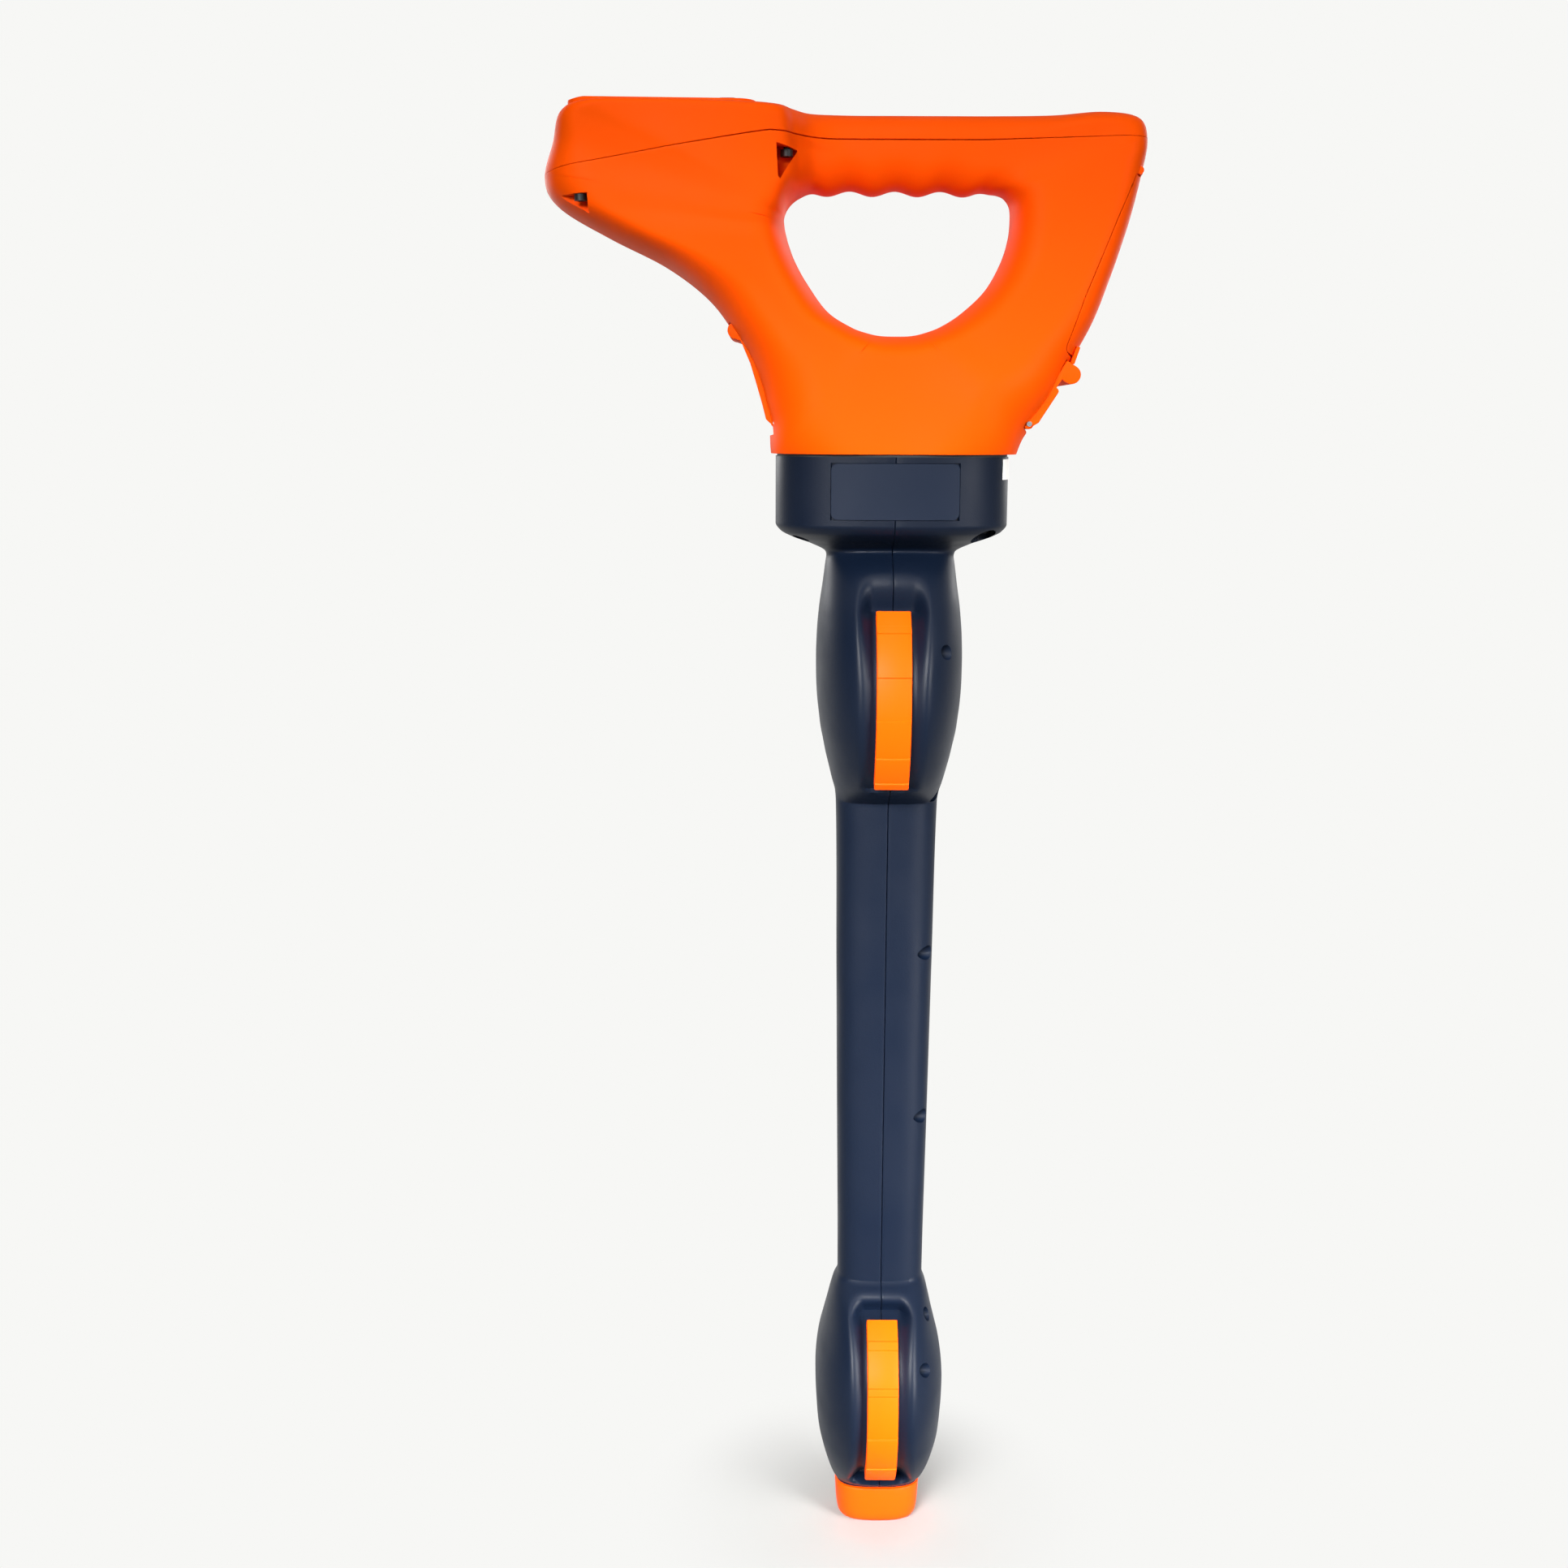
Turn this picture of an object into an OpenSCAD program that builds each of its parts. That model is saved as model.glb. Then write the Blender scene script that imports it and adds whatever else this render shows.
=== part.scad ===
// Hand-held cable locator: a moulded head with a closed D grip and a display pod,
// on a two-shell wand that carries an upper and a lower antenna pod.
// Millimetres. The origin is the middle of the foot's flat underside.
// +Z runs up the wand, -X points forward to the display nose, +X back to the battery door.

/* [Heights] */
// Height of the joint between the foot cap and the wand
foot_z = 22; // [18:0.5:28]
// From that joint up to the middle of the lower antenna pod
low_rise = 58; // [48:0.5:68]
// Distance between the middles of the two antenna pods
pod_span = 358.5; // [280:0.5:440]
// From the middle of the upper pod to the lower edge of the collar drum
neck_rise = 81.5; // [66:0.5:96]
// Height of the collar drum, gasket included
drum_h = 32.5; // [26:0.5:40]
// Thickness of the gasket squeezed under the head
gasket_t = 1.2; // [0.6:0.1:2]

/* [Fits] */
// Radial clearance of a pin that turns in its eye
run_fit = 0.05; // [0.02:0.01:0.1]
// Clearance of a piece that is pressed or seated in another
seat_fit = 0.05; // [0.02:0.01:0.1]
// Gap between a moving cover and the housing around it
cover_gap = 0.4; // [0.3:0.05:0.8]
// Gap left between two fixed mouldings so that the seam shows
seam_gap = 0.2; // [0.1:0.05:0.4]
// Gap round a fixed piece that drops into its place
drop_gap = 0.2; // [0.1:0.05:0.4]

/* [Head] */
// Depth of a finger scallop under the grip, crest to middle
scallop = 1.2; // [0:0.1:2]
// Distance from one finger scallop to the next
scallop_pitch = 21; // [18:0.5:26]
// Height of the top cover's side, from its seam on the grip up to the pod's top
cover_h = 13.5; // [11:0.5:16]
// Drop of that seam from the grip to the nose
cover_drop = 19.4; // [12:0.2:24]
// Rise of the seam from the grip to the back
cover_lift = 2; // [0:0.1:3]
// Height of the raised rim round display and keys
rim_h = 1.6; // [0.8:0.1:2.5]
// Width of that rim
rim_w = 2.6; // [1.5:0.1:4]

/* [Display and keys] */
// Length of the display window along the pod
window_x = 50; // [42:0.5:58]
// Width of the display window across the pod
window_y = 64; // [52:0.5:74]
// Thickness of the display window
window_t = 2.2; // [1.2:0.1:3]
// Width and thickness of the ledge that the window lies on
ledge = 3; // [2:0.1:4]
// Height of the display module on the board
module_h = 8; // [6:0.1:10]
// Thickness of a circuit board
board_t = 1.6; // [1:0.1:2.4]
// Length of a key cap along X
key_x = 9; // [7:0.5:11]
// Width of a key cap across the pod
key_y = 10; // [8:0.5:11]
// Room between the flanges of two keys
key_space = 0.6; // [0.4:0.1:2]
// Height a key stands above the pod's top
key_proud = 2.2; // [1:0.1:3]
// Travel of a key when it is pressed
key_travel = 0.8; // [0.5:0.1:1]
// Radius of the corner of a key
key_r = 2.5; // [1:0.1:3.5]
// Width of the flange that keeps a key in
key_flange = 1.2; // [0.8:0.1:1.4]
// Radius of the speaker
speaker_r = 16; // [12:0.5:19]

/* [Battery bay] */
// Thickness of the battery door
door_t = 4.2; // [3:0.1:5]
// Depth of the battery door's sides, which wrap round the back of the head
door_wrap = 11.5; // [9:0.1:12.5]
// Radius of a battery cell
cell_r = 7.2; // [5.2:0.05:8]
// Length of a battery cell
cell_len = 50.2; // [44:0.1:58]
// Wall of the battery holder beside the cells
holder_wall = 1.8; // [1.2:0.1:2.4]
// Wall of the battery holder at its ends
holder_end = 5.1; // [3:0.1:6]
// Radius of the hinge pins of door, latch and socket cover
pin_r = 1.2; // [0.8:0.1:1.4]
// Wall of an eye or barrel round its pin
eye_wall = 1.15; // [0.9:0.05:1.4]
// Half length of the battery door's barrel
barrel_half = 9; // [7:0.5:11]
// Length of a lug beside the barrel
lug_len = 6; // [4:0.5:7]
// Half width of the latch
latch_half = 24; // [20:0.5:25]

/* [Socket bay] */
// Half width of the socket cover
socket_half = 18; // [12:0.5:20]
// Width and height of the headset socket
jack_body = 16; // [13:0.5:19]
// Radius of the headset socket's bore
jack_r = 3.2; // [1.8:0.05:3.8]
// Length of the headset socket's bore
jack_len = 14; // [11:0.5:17]

/* [Wand] */
// Wall of the wand shells
wall = 3; // [2:0.1:3.6]
// Half width of the collar drum along X
drum_a = 55; // [50:0.2:58]
// Half width of the collar drum along Y
drum_b = 42; // [38:0.2:46]
// Half width of the wand along Y at the foot
foot_b = 15.5; // [14:0.1:18]
// Half width of the tube along Y at the upper pod
tube_b = 19; // [17:0.1:23]
// Radius of the upper bumper's pod seen from the front
up_r = 59; // [50:0.5:68]
// Radius of the lower bumper's pod seen from the front
low_r = 54; // [46:0.5:62]
// Half width of a bumper strip
strip_half = 8.2; // [6:0.1:10]
// Thickness of a bumper strip
strip_t = 6; // [4:0.1:7]
// Half width of the channel a bumper lies in
channel_half = 14; // [11:0.1:16]
// Depth of that channel below the pod's crest
channel_d = 5; // [3:0.1:6]
// Length of the bare plate on the collar
label_x = 59; // [48:0.5:68]
// Thickness of that plate
label_t = 1.5; // [1:0.1:2]

/* [Fasteners and antennas] */
// Radius of a wand screw's shank
screw_r = 1.6; // [1.2:0.1:2]
// Radius of a wand screw's head
screw_head = 2.8; // [2.4:0.1:3.4]
// Radius of a collar screw's shank
collar_r = 1.85; // [1.4:0.05:2.2]
// Radius of a collar screw's head
collar_head = 3.6; // [3:0.1:4.2]
// Radius of an antenna's ferrite core
core_r = 5; // [4:0.1:6]
// Thickness of the winding round it
coil_t = 3.4; // [2.6:0.1:4]
// Room between the end of a core and the pod's inside
core_room = 8; // [6:0.5:10]
// Width of the antenna board
strip_board = 12; // [9:0.5:14]

/* [Hidden] */
$fn = 48;
// Points round one rounded edge of a head section, and steps between two stations
edge_n = 4;
sub = 2;
// Heights of the pods, the collar and the head's seam
low_z = foot_z + low_rise;
up_z = low_z + pod_span;
drum_low = up_z + neck_rise;
seam_z = drum_low + drum_h;

// Distance from one key to the next
key_pitch = key_y + 2 * key_flange + key_space;
// Inside of the display pod: wide enough for the window and for five keys with their flanges
function pod_in_y() = max(window_y / 2 + 1, 2 * key_pitch + key_y / 2 + key_flange + 0.8);
pod_wall = 15;
pod_w = pod_in_y() + pod_wall;

// Head stations, going round the hand opening from the rear, over the grip, down the nose and back,
// with heights above the seam: opening x z, outside x z, half width at the opening and outside,
// edge radius at both, squareness
HEAD = [
  [54, 108, 109.2, 108.7, 24, 22, 15, 15, 2.4],
  [53.4, 113.5, 113.4, 127, 23, 21, 15, 15, 2.4],
  [51, 117, 115.6, 142, 22, 20, 15, 14, 2.4],
  [48, 118.4, 111.5, 152.2, 20, 18, 15, 14, 2.4],
  [44, 118.8, 95, 155, 18.5, 18, 16, 16, 2.3],
  [38, 118.8, 72, 153.4, 18, 18, 17, 17, 2.3],
  [26, 118.8, 45, 153, 18, 18, 17, 17, 2.3],
  [13, 118.8, 22, 153, 18, 18, 17, 17, 2.3],
  [0, 118.8, 0, 153, 18, 18, 17, 17, 2.3],
  [-13, 118.8, -18, 153, 18, 18, 17, 17, 2.3],
  [-26, 118.8, -30, 153.2, 18.5, 18.5, 17, 17, 2.3],
  [-36, 118.8, -40, 153.4, 21, 21, 17, 17, 2.3],
  [-43, 118, -48, 153.6, 29, 29, 16, 15, 2.6],
  [-47, 116.5, -55.5, 153.8, pod_w - 8, pod_w - 6, 14, 12, 3],
  [-49.5, 114, -75, 154, pod_w - 2, pod_w - 1, 13, 11, 3.5],
  [-50.8, 111.5, -108, 154, pod_w - 1, pod_w, 14, 11, 4],
  [-51.4, 109, -138.5, 154.2, pod_w - 0.5, pod_w, 15, 12, 4],
  [-51.5, 107, -150.6, 150.4, pod_w - 0.5, pod_w - 2, 15, 14, 3.5],
  [-51.4, 105, -154.8, 138, pod_w - 0.5, pod_w - 4, 16, 20, 3],
  [-51, 102, -159.5, 123, pod_w - 0.5, pod_w - 4, 16, 26, 2.6],
  [-50.3, 99, -154.8, 112, pod_w - 1, pod_w - 4, 16, 28, 2.4],
  [-49, 94.5, -134, 99.2, pod_w - 1, pod_w - 3, 16, 26, 2.4],
  [-46, 87, -107, 85.8, pod_w - 2, pod_w - 3, 16, 24, 2.4],
  [-40.5, 77.5, -86.5, 70.5, 45, 44, 16, 22, 2.4],
  [-31, 65, -73.5, 53.3, 44, drum_b + 1.5, 15, 20, 2.3],
  [-20, 58, -65, 37.5, 43, drum_b + 1.5, 13, 22, 2.3],
  [-12, 55.3, -drum_a - 3.6, 14, 42, drum_b + 1.5, 12, 32, 2.2],
  [-6, 54.2, -drum_a + 4.2, -11, 42, drum_b + 1.5, 12, 36, 2.2],
  [1.3, 54, 0, -37, 41, drum_b + 1.5, 12, 24, 2.3],
  [8, 54.3, drum_a - 6, -14, 40, drum_b + 1.5, 12, 36, 2.2],
  [14, 55.6, drum_a + 7.4, 8, 39, drum_b + 1, 12, 32, 2.2],
  [22, 58.6, 73.6, 24, 37, 40, 13, 26, 2.3],
  [32, 65, 83, 42, 35, 35, 15, 22, 2.3],
  [43, 75.5, 93, 61, 31, 30, 16, 18, 2.4],
  [50, 88, 100.5, 81, 27, 26, 16, 16, 2.4],
  [53.3, 99, 105.3, 95.5, 25, 23.5, 15, 15, 2.4]
];
// The finger waves run where the opening is at least this high
wave_from = HEAD[2][1];

function mix(a, b, t) = a + (b - a) * t;
// Catmull-Rom curve between b and c
function smooth4(a, b, c, d, t) =
  0.5 * ((2 * b) + (c - a) * t + (2 * a - 5 * b + 4 * c - d) * t * t + (3 * b - a - 3 * c + d) * t * t * t);
function at(list, i) = list[(i + len(list)) % len(list)];
// Head station at a fractional place round the ring
function head_at(u) =
  let (i = floor(u), t = u - floor(u))
  smooth4(at(HEAD, i - 1), at(HEAD, i), at(HEAD, i + 1), at(HEAD, i + 2), t);
// Finger waves along the underside of the grip, fading out at both ends
function wave(x, z) =
  z < wave_from ? 0 : scallop * cos(360 * x / scallop_pitch) * max(0, min(1, (44 - abs(x)) / 8));
// One rounded head section as a loop of points
function head_loop(u) =
  let (s = head_at(u), iz = s[1] + wave(s[0], s[1]))
  let (l = norm([s[2] - s[0], s[3] - iz]), ri = min(s[6], 0.49 * l), ro = min(s[7], 0.49 * l), e = 2 / s[8])
  let (half = concat(
    [for (k = [0:edge_n]) let (a = 90 * k / edge_n)
      [ri * (1 - pow(cos(a), e)), s[4] * pow(sin(a), e)]],
    [for (k = [edge_n:-1:0]) let (a = 90 * k / edge_n)
      [l - ro * (1 - pow(cos(a), e)), s[5] * pow(sin(a), e)]]))
  let (n = len(half))
  [for (k = [0:2 * n - 3])
    let (p = k < n ? half[k] : half[2 * n - 2 - k], g = k < n ? -1 : 1, f = p[0] / l)
    [mix(s[0], s[2], f), g * p[1], mix(iz, s[3], f)]];
// Triangles that join a row of loops of m points; closed rows meet themselves again
function skin(n, m, closed) = [
  for (i = [0:n - (closed ? 1 : 2)], j = [0:m - 1], h = [0, 1])
    let (a = i * m + j, b = i * m + (j + 1) % m, c = ((i + 1) % n) * m + (j + 1) % m, d = ((i + 1) % n) * m + j)
    h == 0 ? [a, c, b] : [a, d, c]];

// The whole ring of the head, before it is parted
module head_ring() {
  n = len(HEAD) * sub;
  m = 4 * edge_n + 2;
  pts = [for (i = [0:n - 1]) each head_loop(i / sub)];
  polyhedron(points = pts, faces = skin(n, m, true), convexity = 8);
}
// A piece of the ring between two stations, closed by flat fans
module head_piece(u0, u1) {
  n = (u1 - u0) * sub + 1;
  m = 4 * edge_n + 2;
  pts = [for (i = [0:n - 1]) each head_loop(u0 + i / sub)];
  ends = [for (k = [1:m - 2], h = [0, 1])
    h == 0 ? [0, k, k + 1] : [(n - 1) * m, (n - 1) * m + k + 1, (n - 1) * m + k]];
  polyhedron(points = pts, faces = concat(skin(n, m, false), ends), convexity = 8);
}
// The head's own frame: heights count from the seam
module on_seam() {
  translate([0, 0, seam_z]) children();
}
// A flat outline in X and Z, given a thickness along Y about the middle plane
module across(half) {
  rotate([90, 0, 0]) linear_extrude(2 * half, center = true) children();
}
// A round bar along Y
module bar(x, z, r, half) {
  translate([x, 0, z]) rotate([90, 0, 0]) cylinder(r = r, h = 2 * half, center = true);
}

// Heights in the head: pod's top, window seat, roof of the hollow, board's top and underside of the keys
pod_top = HEAD[15][3];
window_sunk = 0.3;
window_z = pod_top - window_sunk - window_t;
pod_roof = window_z - ledge;
board_z = pod_roof - module_h;
key_low = board_z + 0.625 * module_h;
// Places along the pod: rear end of its hollow, middle of the keys, middle of the window, front of the hollow
pod_back = -64;
key_mid = pod_back - 8.5 - key_x / 2;
window_mid = key_mid - key_x / 2 - 12.5 - window_x / 2;
pod_front = window_mid - window_x / 2 - 2;
// Seam of the top cover on the grip and at the nose
cover_z = pod_top - cover_h;
seam_nose = cover_z - cover_drop;
// Half widths and height of the wand's spigot in the head
spigot_a = drum_a - 18.6;
spigot_b = drum_b - 15;
spigot_h = 12;
spigot_t = 5;
// Everything above the top cover's seam, moved by d
module above_seam(d) {
  across(70) polygon([[-175, seam_nose + d], [-58, cover_z + d], [40, cover_z + d],
    [100, cover_z + cover_lift + d], [130, cover_z + cover_lift + d], [130, 180], [-175, 180]]);
}

// The battery door's own frame: origin on the hinge pin, +X out of the door, +Z up along it
door_pin = [111, 128];
door_lean = 18.6;
// Radius of eyes and barrels, and reach of the door's outer face round its pin as it swings up
eye_r = pin_r + eye_wall;
door_sweep = eye_r + 2.1;
// The latch's frame: origin on its pin, +X out, +Z up along the plate
latch_pin = [drum_a + 7.1, 14];
latch_lean = 32.6;
latch_len = 20.5;
latch_top = 33.4;
// The socket cover's frame: origin on its pin, -X out, +Z up along the cover
cover_pin = [-drum_a, 14.3];
cover_lean = -17;
cover_len = 48;
tab_r = 4;
// The door reaches down to the top of the latch
latch_end = latch_pin + latch_top * [sin(latch_lean), cos(latch_lean)] - door_pin;
lip_len = 5;
door_len = -latch_end[0] * sin(door_lean) - latch_end[1] * cos(door_lean) - lip_len;
lip_half = latch_half - 3;
module at_door() {
  translate([door_pin[0], 0, door_pin[1]]) rotate([0, door_lean, 0]) children();
}
module at_latch() {
  translate([latch_pin[0], 0, latch_pin[1]]) rotate([0, latch_lean, 0]) children();
}
module at_socket() {
  translate([cover_pin[0], 0, cover_pin[1]]) rotate([0, cover_lean, 0]) children();
}
// Side outline of the space behind the back of the head that the door fills, grown by g
module door_shape(g) {
  offset(delta = g) polygon([[-1.4, 0], [-3.4, -8], [4.45 - 0.85 * door_wrap, -19], [5.04 - door_wrap, -40],
    [4.3 - door_wrap, -69], [2 - 0.85 * door_wrap, -door_len], [14, -door_len], [14, 0]]);
}
// Hollow between the door's sides, which leaves room for the battery holder
module door_pocket() {
  across(holder_y / 2 + 2 * bay_gap) polygon([[-20, -7], [-0.4, -7], [4.45 - door_t, -19], [5.04 - door_t, -40],
    [4.3 - door_t, -69], [3 - door_t, 5 - door_len], [-20, 5 - door_len]]);
}
module lip_shape(g) {
  offset(delta = g) polygon([[-0.8, -door_len - lip_len], [-0.8, -door_len + 2], [3, -door_len + 2],
    [3, -door_len - lip_len]]);
}
// Recesses that latch and socket cover lie in, open to the outside
module latch_room(g) {
  circle(r = eye_r + g);
  polygon([[-1.2 - g, 0], [-1.2 - g, latch_top + g], [16, latch_top + g], [16, -3.6],
    [4.2, -3.6], [1.6, -2.9], [0, 0]]);
}
module socket_room(g) {
  circle(r = eye_r + g);
  polygon([[0.2 + g, 0], [0.2 + g, 24], [-0.2 + g, 33], [-1 + g, cover_len - 8], [-1 + g, cover_len - 3],
    [-1 + g, cover_len + 1.3 + g], [-18, cover_len + 1.3 + g], [-18, -5], [-2, -5], [-0.2, -3.5], [0.6, -2.6]]);
}

// Hollow of the display pod
module pod_hollow() {
  across(pod_in_y()) polygon([[pod_front, pod_roof], [pod_back, pod_roof], [pod_back, 103],
    [-90, 92], [-112, 105], [pod_front, 125]]);
}
// Hollow of the lower head, open to the collar
module head_hollow() {
  across(spigot_b) polygon([[-40, -9], [-44, 33], [-70, 69], [-70, 105], [-64, 105], [-62, 81], [-36, 44],
    [30, 44], [40, -9]]);
}
// Places of the four head screws and the four collar screws: x, y, height of the seat
head_screw_r = 1.35;
nose_screw_x = -142;
HEAD_SCREWS = [for (y = [-1, 1])
  each [[nose_screw_x, y * (pod_w - 9.5), 113.7], [-50.4, y * (pod_w - 14.5), 133.5]]];
COLLAR_SCREWS = [for (x = [-1, 1], y = [-1, 1]) [x * (drum_a - 12.1), y * 15, drum_low - 4]];
collar_grip = 10;
// Pockets under the pod that the head screws are reached through
module head_pockets() {
  for (y = [-1, 1]) {
    translate([nose_screw_x - 5, y > 0 ? pod_w - 14.4 : -60, 86]) cube([8.3, 74.4 - pod_w, 27.7]);
    translate([-54.6, y > 0 ? pod_w - 19.5 : -60, 121]) cube([12, 79.5 - pod_w, 12.5]);
  }
}
// The battery bay, in the door's frame
bay_gap = 0.4;
cell_off = cell_r + 0.4;
contact_room = 2.5;
holder_y = 2 * (cell_off + cell_r + holder_wall);
holder_len = cell_len + 2 * contact_room + 2 * holder_end;
bay_front = -4;
bay_top = -8;

module head_housing() {
  color("darkorange") on_seam() difference() {
    union() {
      difference() {
        head_ring();
        above_seam(-seam_gap / 2);
        translate([-100, -80, -160]) cube([200, 160, 160]);
        pod_hollow();
        head_hollow();
        head_pockets();
        // socket for the wand's spigot
        translate([0, 0, -1]) linear_extrude(spigot_h + 1 + cover_gap)
          oval(spigot_a + drop_gap, spigot_b + drop_gap);
        at_door() across(60) door_shape(cover_gap);
        at_door() across(lip_half + cover_gap) lip_shape(cover_gap);
        at_door() bar(0, 0, door_sweep, barrel_half + cover_gap);
        at_latch() across(latch_half + cover_gap) latch_room(cover_gap);
        at_socket() across(socket_half + cover_gap) socket_room(cover_gap);
      }
      // lugs that carry the battery door's pin
      at_door() for (y = [-1, 1]) translate([0, y * (barrel_half + cover_gap + lug_len / 2), 0])
        rotate([90, 0, 0]) cylinder(r = eye_r, h = lug_len, center = true);
    }
    for (s = HEAD_SCREWS) translate([s[0], s[1], s[2] - 3]) cylinder(r = head_screw_r + 0.35, h = 40);
    for (s = COLLAR_SCREWS) translate([s[0], s[1], -1]) cylinder(r = collar_r + seat_fit, h = collar_grip + 3);
    at_door()
      translate([bay_front - holder_y - 2 * bay_gap, -holder_y / 2 - bay_gap, bay_top - holder_len - bay_gap])
      cube([holder_y + 2 * bay_gap + 3, holder_y + 2 * bay_gap, holder_len + 2 * bay_gap]);
    at_door() bar(0, 0, pin_r + seat_fit, barrel_half + cover_gap + lug_len - 1);
    at_latch() bar(0, 0, pin_r + seat_fit, latch_half + 3 + drop_gap);
    at_socket() bar(0, 0, pin_r + seat_fit, socket_half + 3 + drop_gap);
    at_socket() translate([-1, -jack_body / 2 - drop_gap, 22 - jack_body / 2 - drop_gap])
      cube([jack_len + 4, jack_body + 2 * drop_gap, jack_body + 2 * drop_gap]);
  }
}

// Outline of the raised rim round display and keys, grown by g
module rim_shape(g) {
  mid = (pod_front + pod_back) / 2;
  translate([mid - 1, 0]) offset(r = 6.4 + g)
    square([pod_back - pod_front - 16, 2 * pod_in_y() - 6], center = true);
}
module top_cover() {
  color("darkorange") on_seam() difference() {
    difference() {
      union() {
        intersection() {
          head_ring();
          above_seam(seam_gap / 2);
        }
        translate([0, 0, pod_top - 3.5]) linear_extrude(3.5 + rim_h) difference() {
          rim_shape(rim_w);
          rim_shape(0);
        }
      }
      pod_hollow();
    }
    difference() {
      translate([window_mid - window_x / 2, -window_y / 2, pod_roof - 5]) cube([window_x, window_y, 40]);
      window_ledge();
    }
    for (k = [-2:2]) translate([key_mid, k * key_pitch, pod_roof - 5]) key_prism(0.3, 30);
    for (s = HEAD_SCREWS) translate([s[0], s[1], s[2]])
      cylinder(r = head_screw_r + seat_fit, h = screw_up(s) + 1);
  }
}
// Ledge round the display opening that the window lies on
module window_ledge() {
  translate([window_mid, 0, window_z - 30]) linear_extrude(30) difference() {
    square([window_x + 1, window_y + 1], center = true);
    square([window_x - 2 * ledge, window_y - 2 * ledge], center = true);
  }
}
module key_prism(g, h) {
  linear_extrude(h) offset(r = key_r + g) square([key_x - 2 * key_r, key_y - 2 * key_r], center = true);
}

module display_window() {
  color("lightsteelblue") on_seam() translate([window_mid, 0, window_z + window_t / 2])
    cube([window_x - 2 * drop_gap, window_y - 2 * drop_gap, window_t], center = true);
}
module display_module() {
  color("dimgray") on_seam() {
    translate([window_mid - window_x / 2, -window_y / 2, board_z]) cube([window_x, window_y, module_h]);
    translate([window_mid, 0, pod_roof - 1])
      linear_extrude(window_z - pod_roof + 1)
        square([window_x - 2 * ledge - 2 * drop_gap, window_y - 2 * ledge - 2 * drop_gap], center = true);
  }
}
board_half = pod_in_y() - 1;
module main_board() {
  color("green") on_seam() translate([pod_front + 1, -board_half, board_z - board_t])
    cube([pod_back - pod_front - 4, 2 * board_half, board_t]);
}
module keypad_mat() {
  color("gray") on_seam() translate([key_mid - key_x / 2 - 3.5, -board_half, board_z])
    cube([key_x + 7, 2 * board_half, key_low - key_travel - seam_gap - board_z]);
}
module key(k) {
  on_seam() translate([key_mid, k * key_pitch, key_low]) {
    key_prism(0, pod_top + key_proud - key_low);
    key_prism(key_flange, pod_roof - cover_gap - key_low);
  }
}
module key_power() {
  color("firebrick") key(-2);
}
module key_mode() {
  color("silver") key(-1);
}
module key_frequency() {
  color("silver") key(0);
}
module key_gain_up() {
  color("silver") key(1);
}
module key_gain_down() {
  color("silver") key(2);
}
module speaker() {
  color("black") on_seam() translate([window_mid + 15, 0, board_z - board_t - 8]) {
    cylinder(r = speaker_r, h = 8);
    translate([0, 0, -6]) cylinder(r = 0.56 * speaker_r, h = 6.5);
  }
}

module battery_door() {
  color("darkorange") on_seam() difference() {
    union() {
      intersection() {
        head_piece(-4, 3);
        at_door() difference() {
          across(60) door_shape(0);
          door_pocket();
        }
      }
      at_door() bar(0, 0, eye_r, barrel_half);
      // lip that the latch bears on
      at_door() across(lip_half) lip_shape(0);
    }
    at_door() bar(0, 0, pin_r + run_fit, 2 * barrel_half);
    // the door is cut away at the lugs of the housing
    at_door() for (y = [-1, 1]) translate([0, y * (barrel_half + 20), 0]) rotate([90, 0, 0])
      cylinder(r = eye_r + cover_gap, h = 40, center = true);
  }
}
module battery_door_pin() {
  color("silver") on_seam() at_door() bar(0, 0, pin_r, barrel_half + cover_gap + lug_len - 1.2);
}
// Middle of the battery bay
module in_bay() {
  on_seam() at_door() translate([bay_front - holder_y / 2 - bay_gap, 0, bay_top - holder_len / 2]) children();
}
// Places of the spring plates at both ends of the cells
module at_contacts() {
  for (z = [-1, 1], x = [-1, 1]) translate([x * cell_off, 0, z * (cell_len / 2 + 1.7)]) children();
}
contact_x = 8;
contact_y = 24;
contact_t = 0.8;
module battery_holder() {
  color("black") in_bay() difference() {
    cube([holder_y, holder_y, holder_len], center = true);
    for (x = [-1, 1], y = [-1, 1]) translate([x * cell_off, y * cell_off, 0])
      cylinder(r = cell_r + 0.15, h = cell_len + 2 * contact_room, center = true);
    for (x = [-1, 1]) translate([x * (cell_off + 10), 0, 0])
      cube([20, holder_y + 2, cell_len + 2 * contact_room], center = true);
    at_contacts() cube([contact_x + 0.6, contact_y + 0.6, contact_t + 0.6], center = true);
  }
}
module battery_cells() {
  color("royalblue") in_bay() for (x = [-1, 1], y = [-1, 1]) translate([x * cell_off, y * cell_off, 0]) {
    cylinder(r = cell_r, h = cell_len - 1.2, center = true);
    translate([0, 0, x * y * (cell_len / 2 - 0.6)]) cylinder(r = 0.375 * cell_r, h = 2.4, center = true);
  }
}
module battery_contacts() {
  color("silver") in_bay() at_contacts() cube([contact_x, contact_y, contact_t], center = true);
}

// The latch: eye, plate, web and the D bar at its top
d_bar = 4.2;
module battery_latch() {
  color("darkorange") on_seam() at_latch() difference() {
    union() {
      across(latch_half) polygon([[-1.2, 0], [-1.2, latch_top], [4.2, latch_top], [4.2, latch_top - 2 * d_bar],
        [1.6, latch_top - 2 * d_bar], [1.6, latch_len], [3.6, latch_len], [3.6, 3], [2.3, 0.4], [2.3, 0]]);
      bar(0, 0, eye_r, latch_half);
      bar(4.2, latch_top - d_bar, d_bar, latch_half);
    }
    bar(0, 0, pin_r + run_fit, 2 * latch_half);
  }
}
module battery_latch_pin() {
  color("silver") on_seam() at_latch() bar(0, 0, pin_r, latch_half + 3);
}

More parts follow.
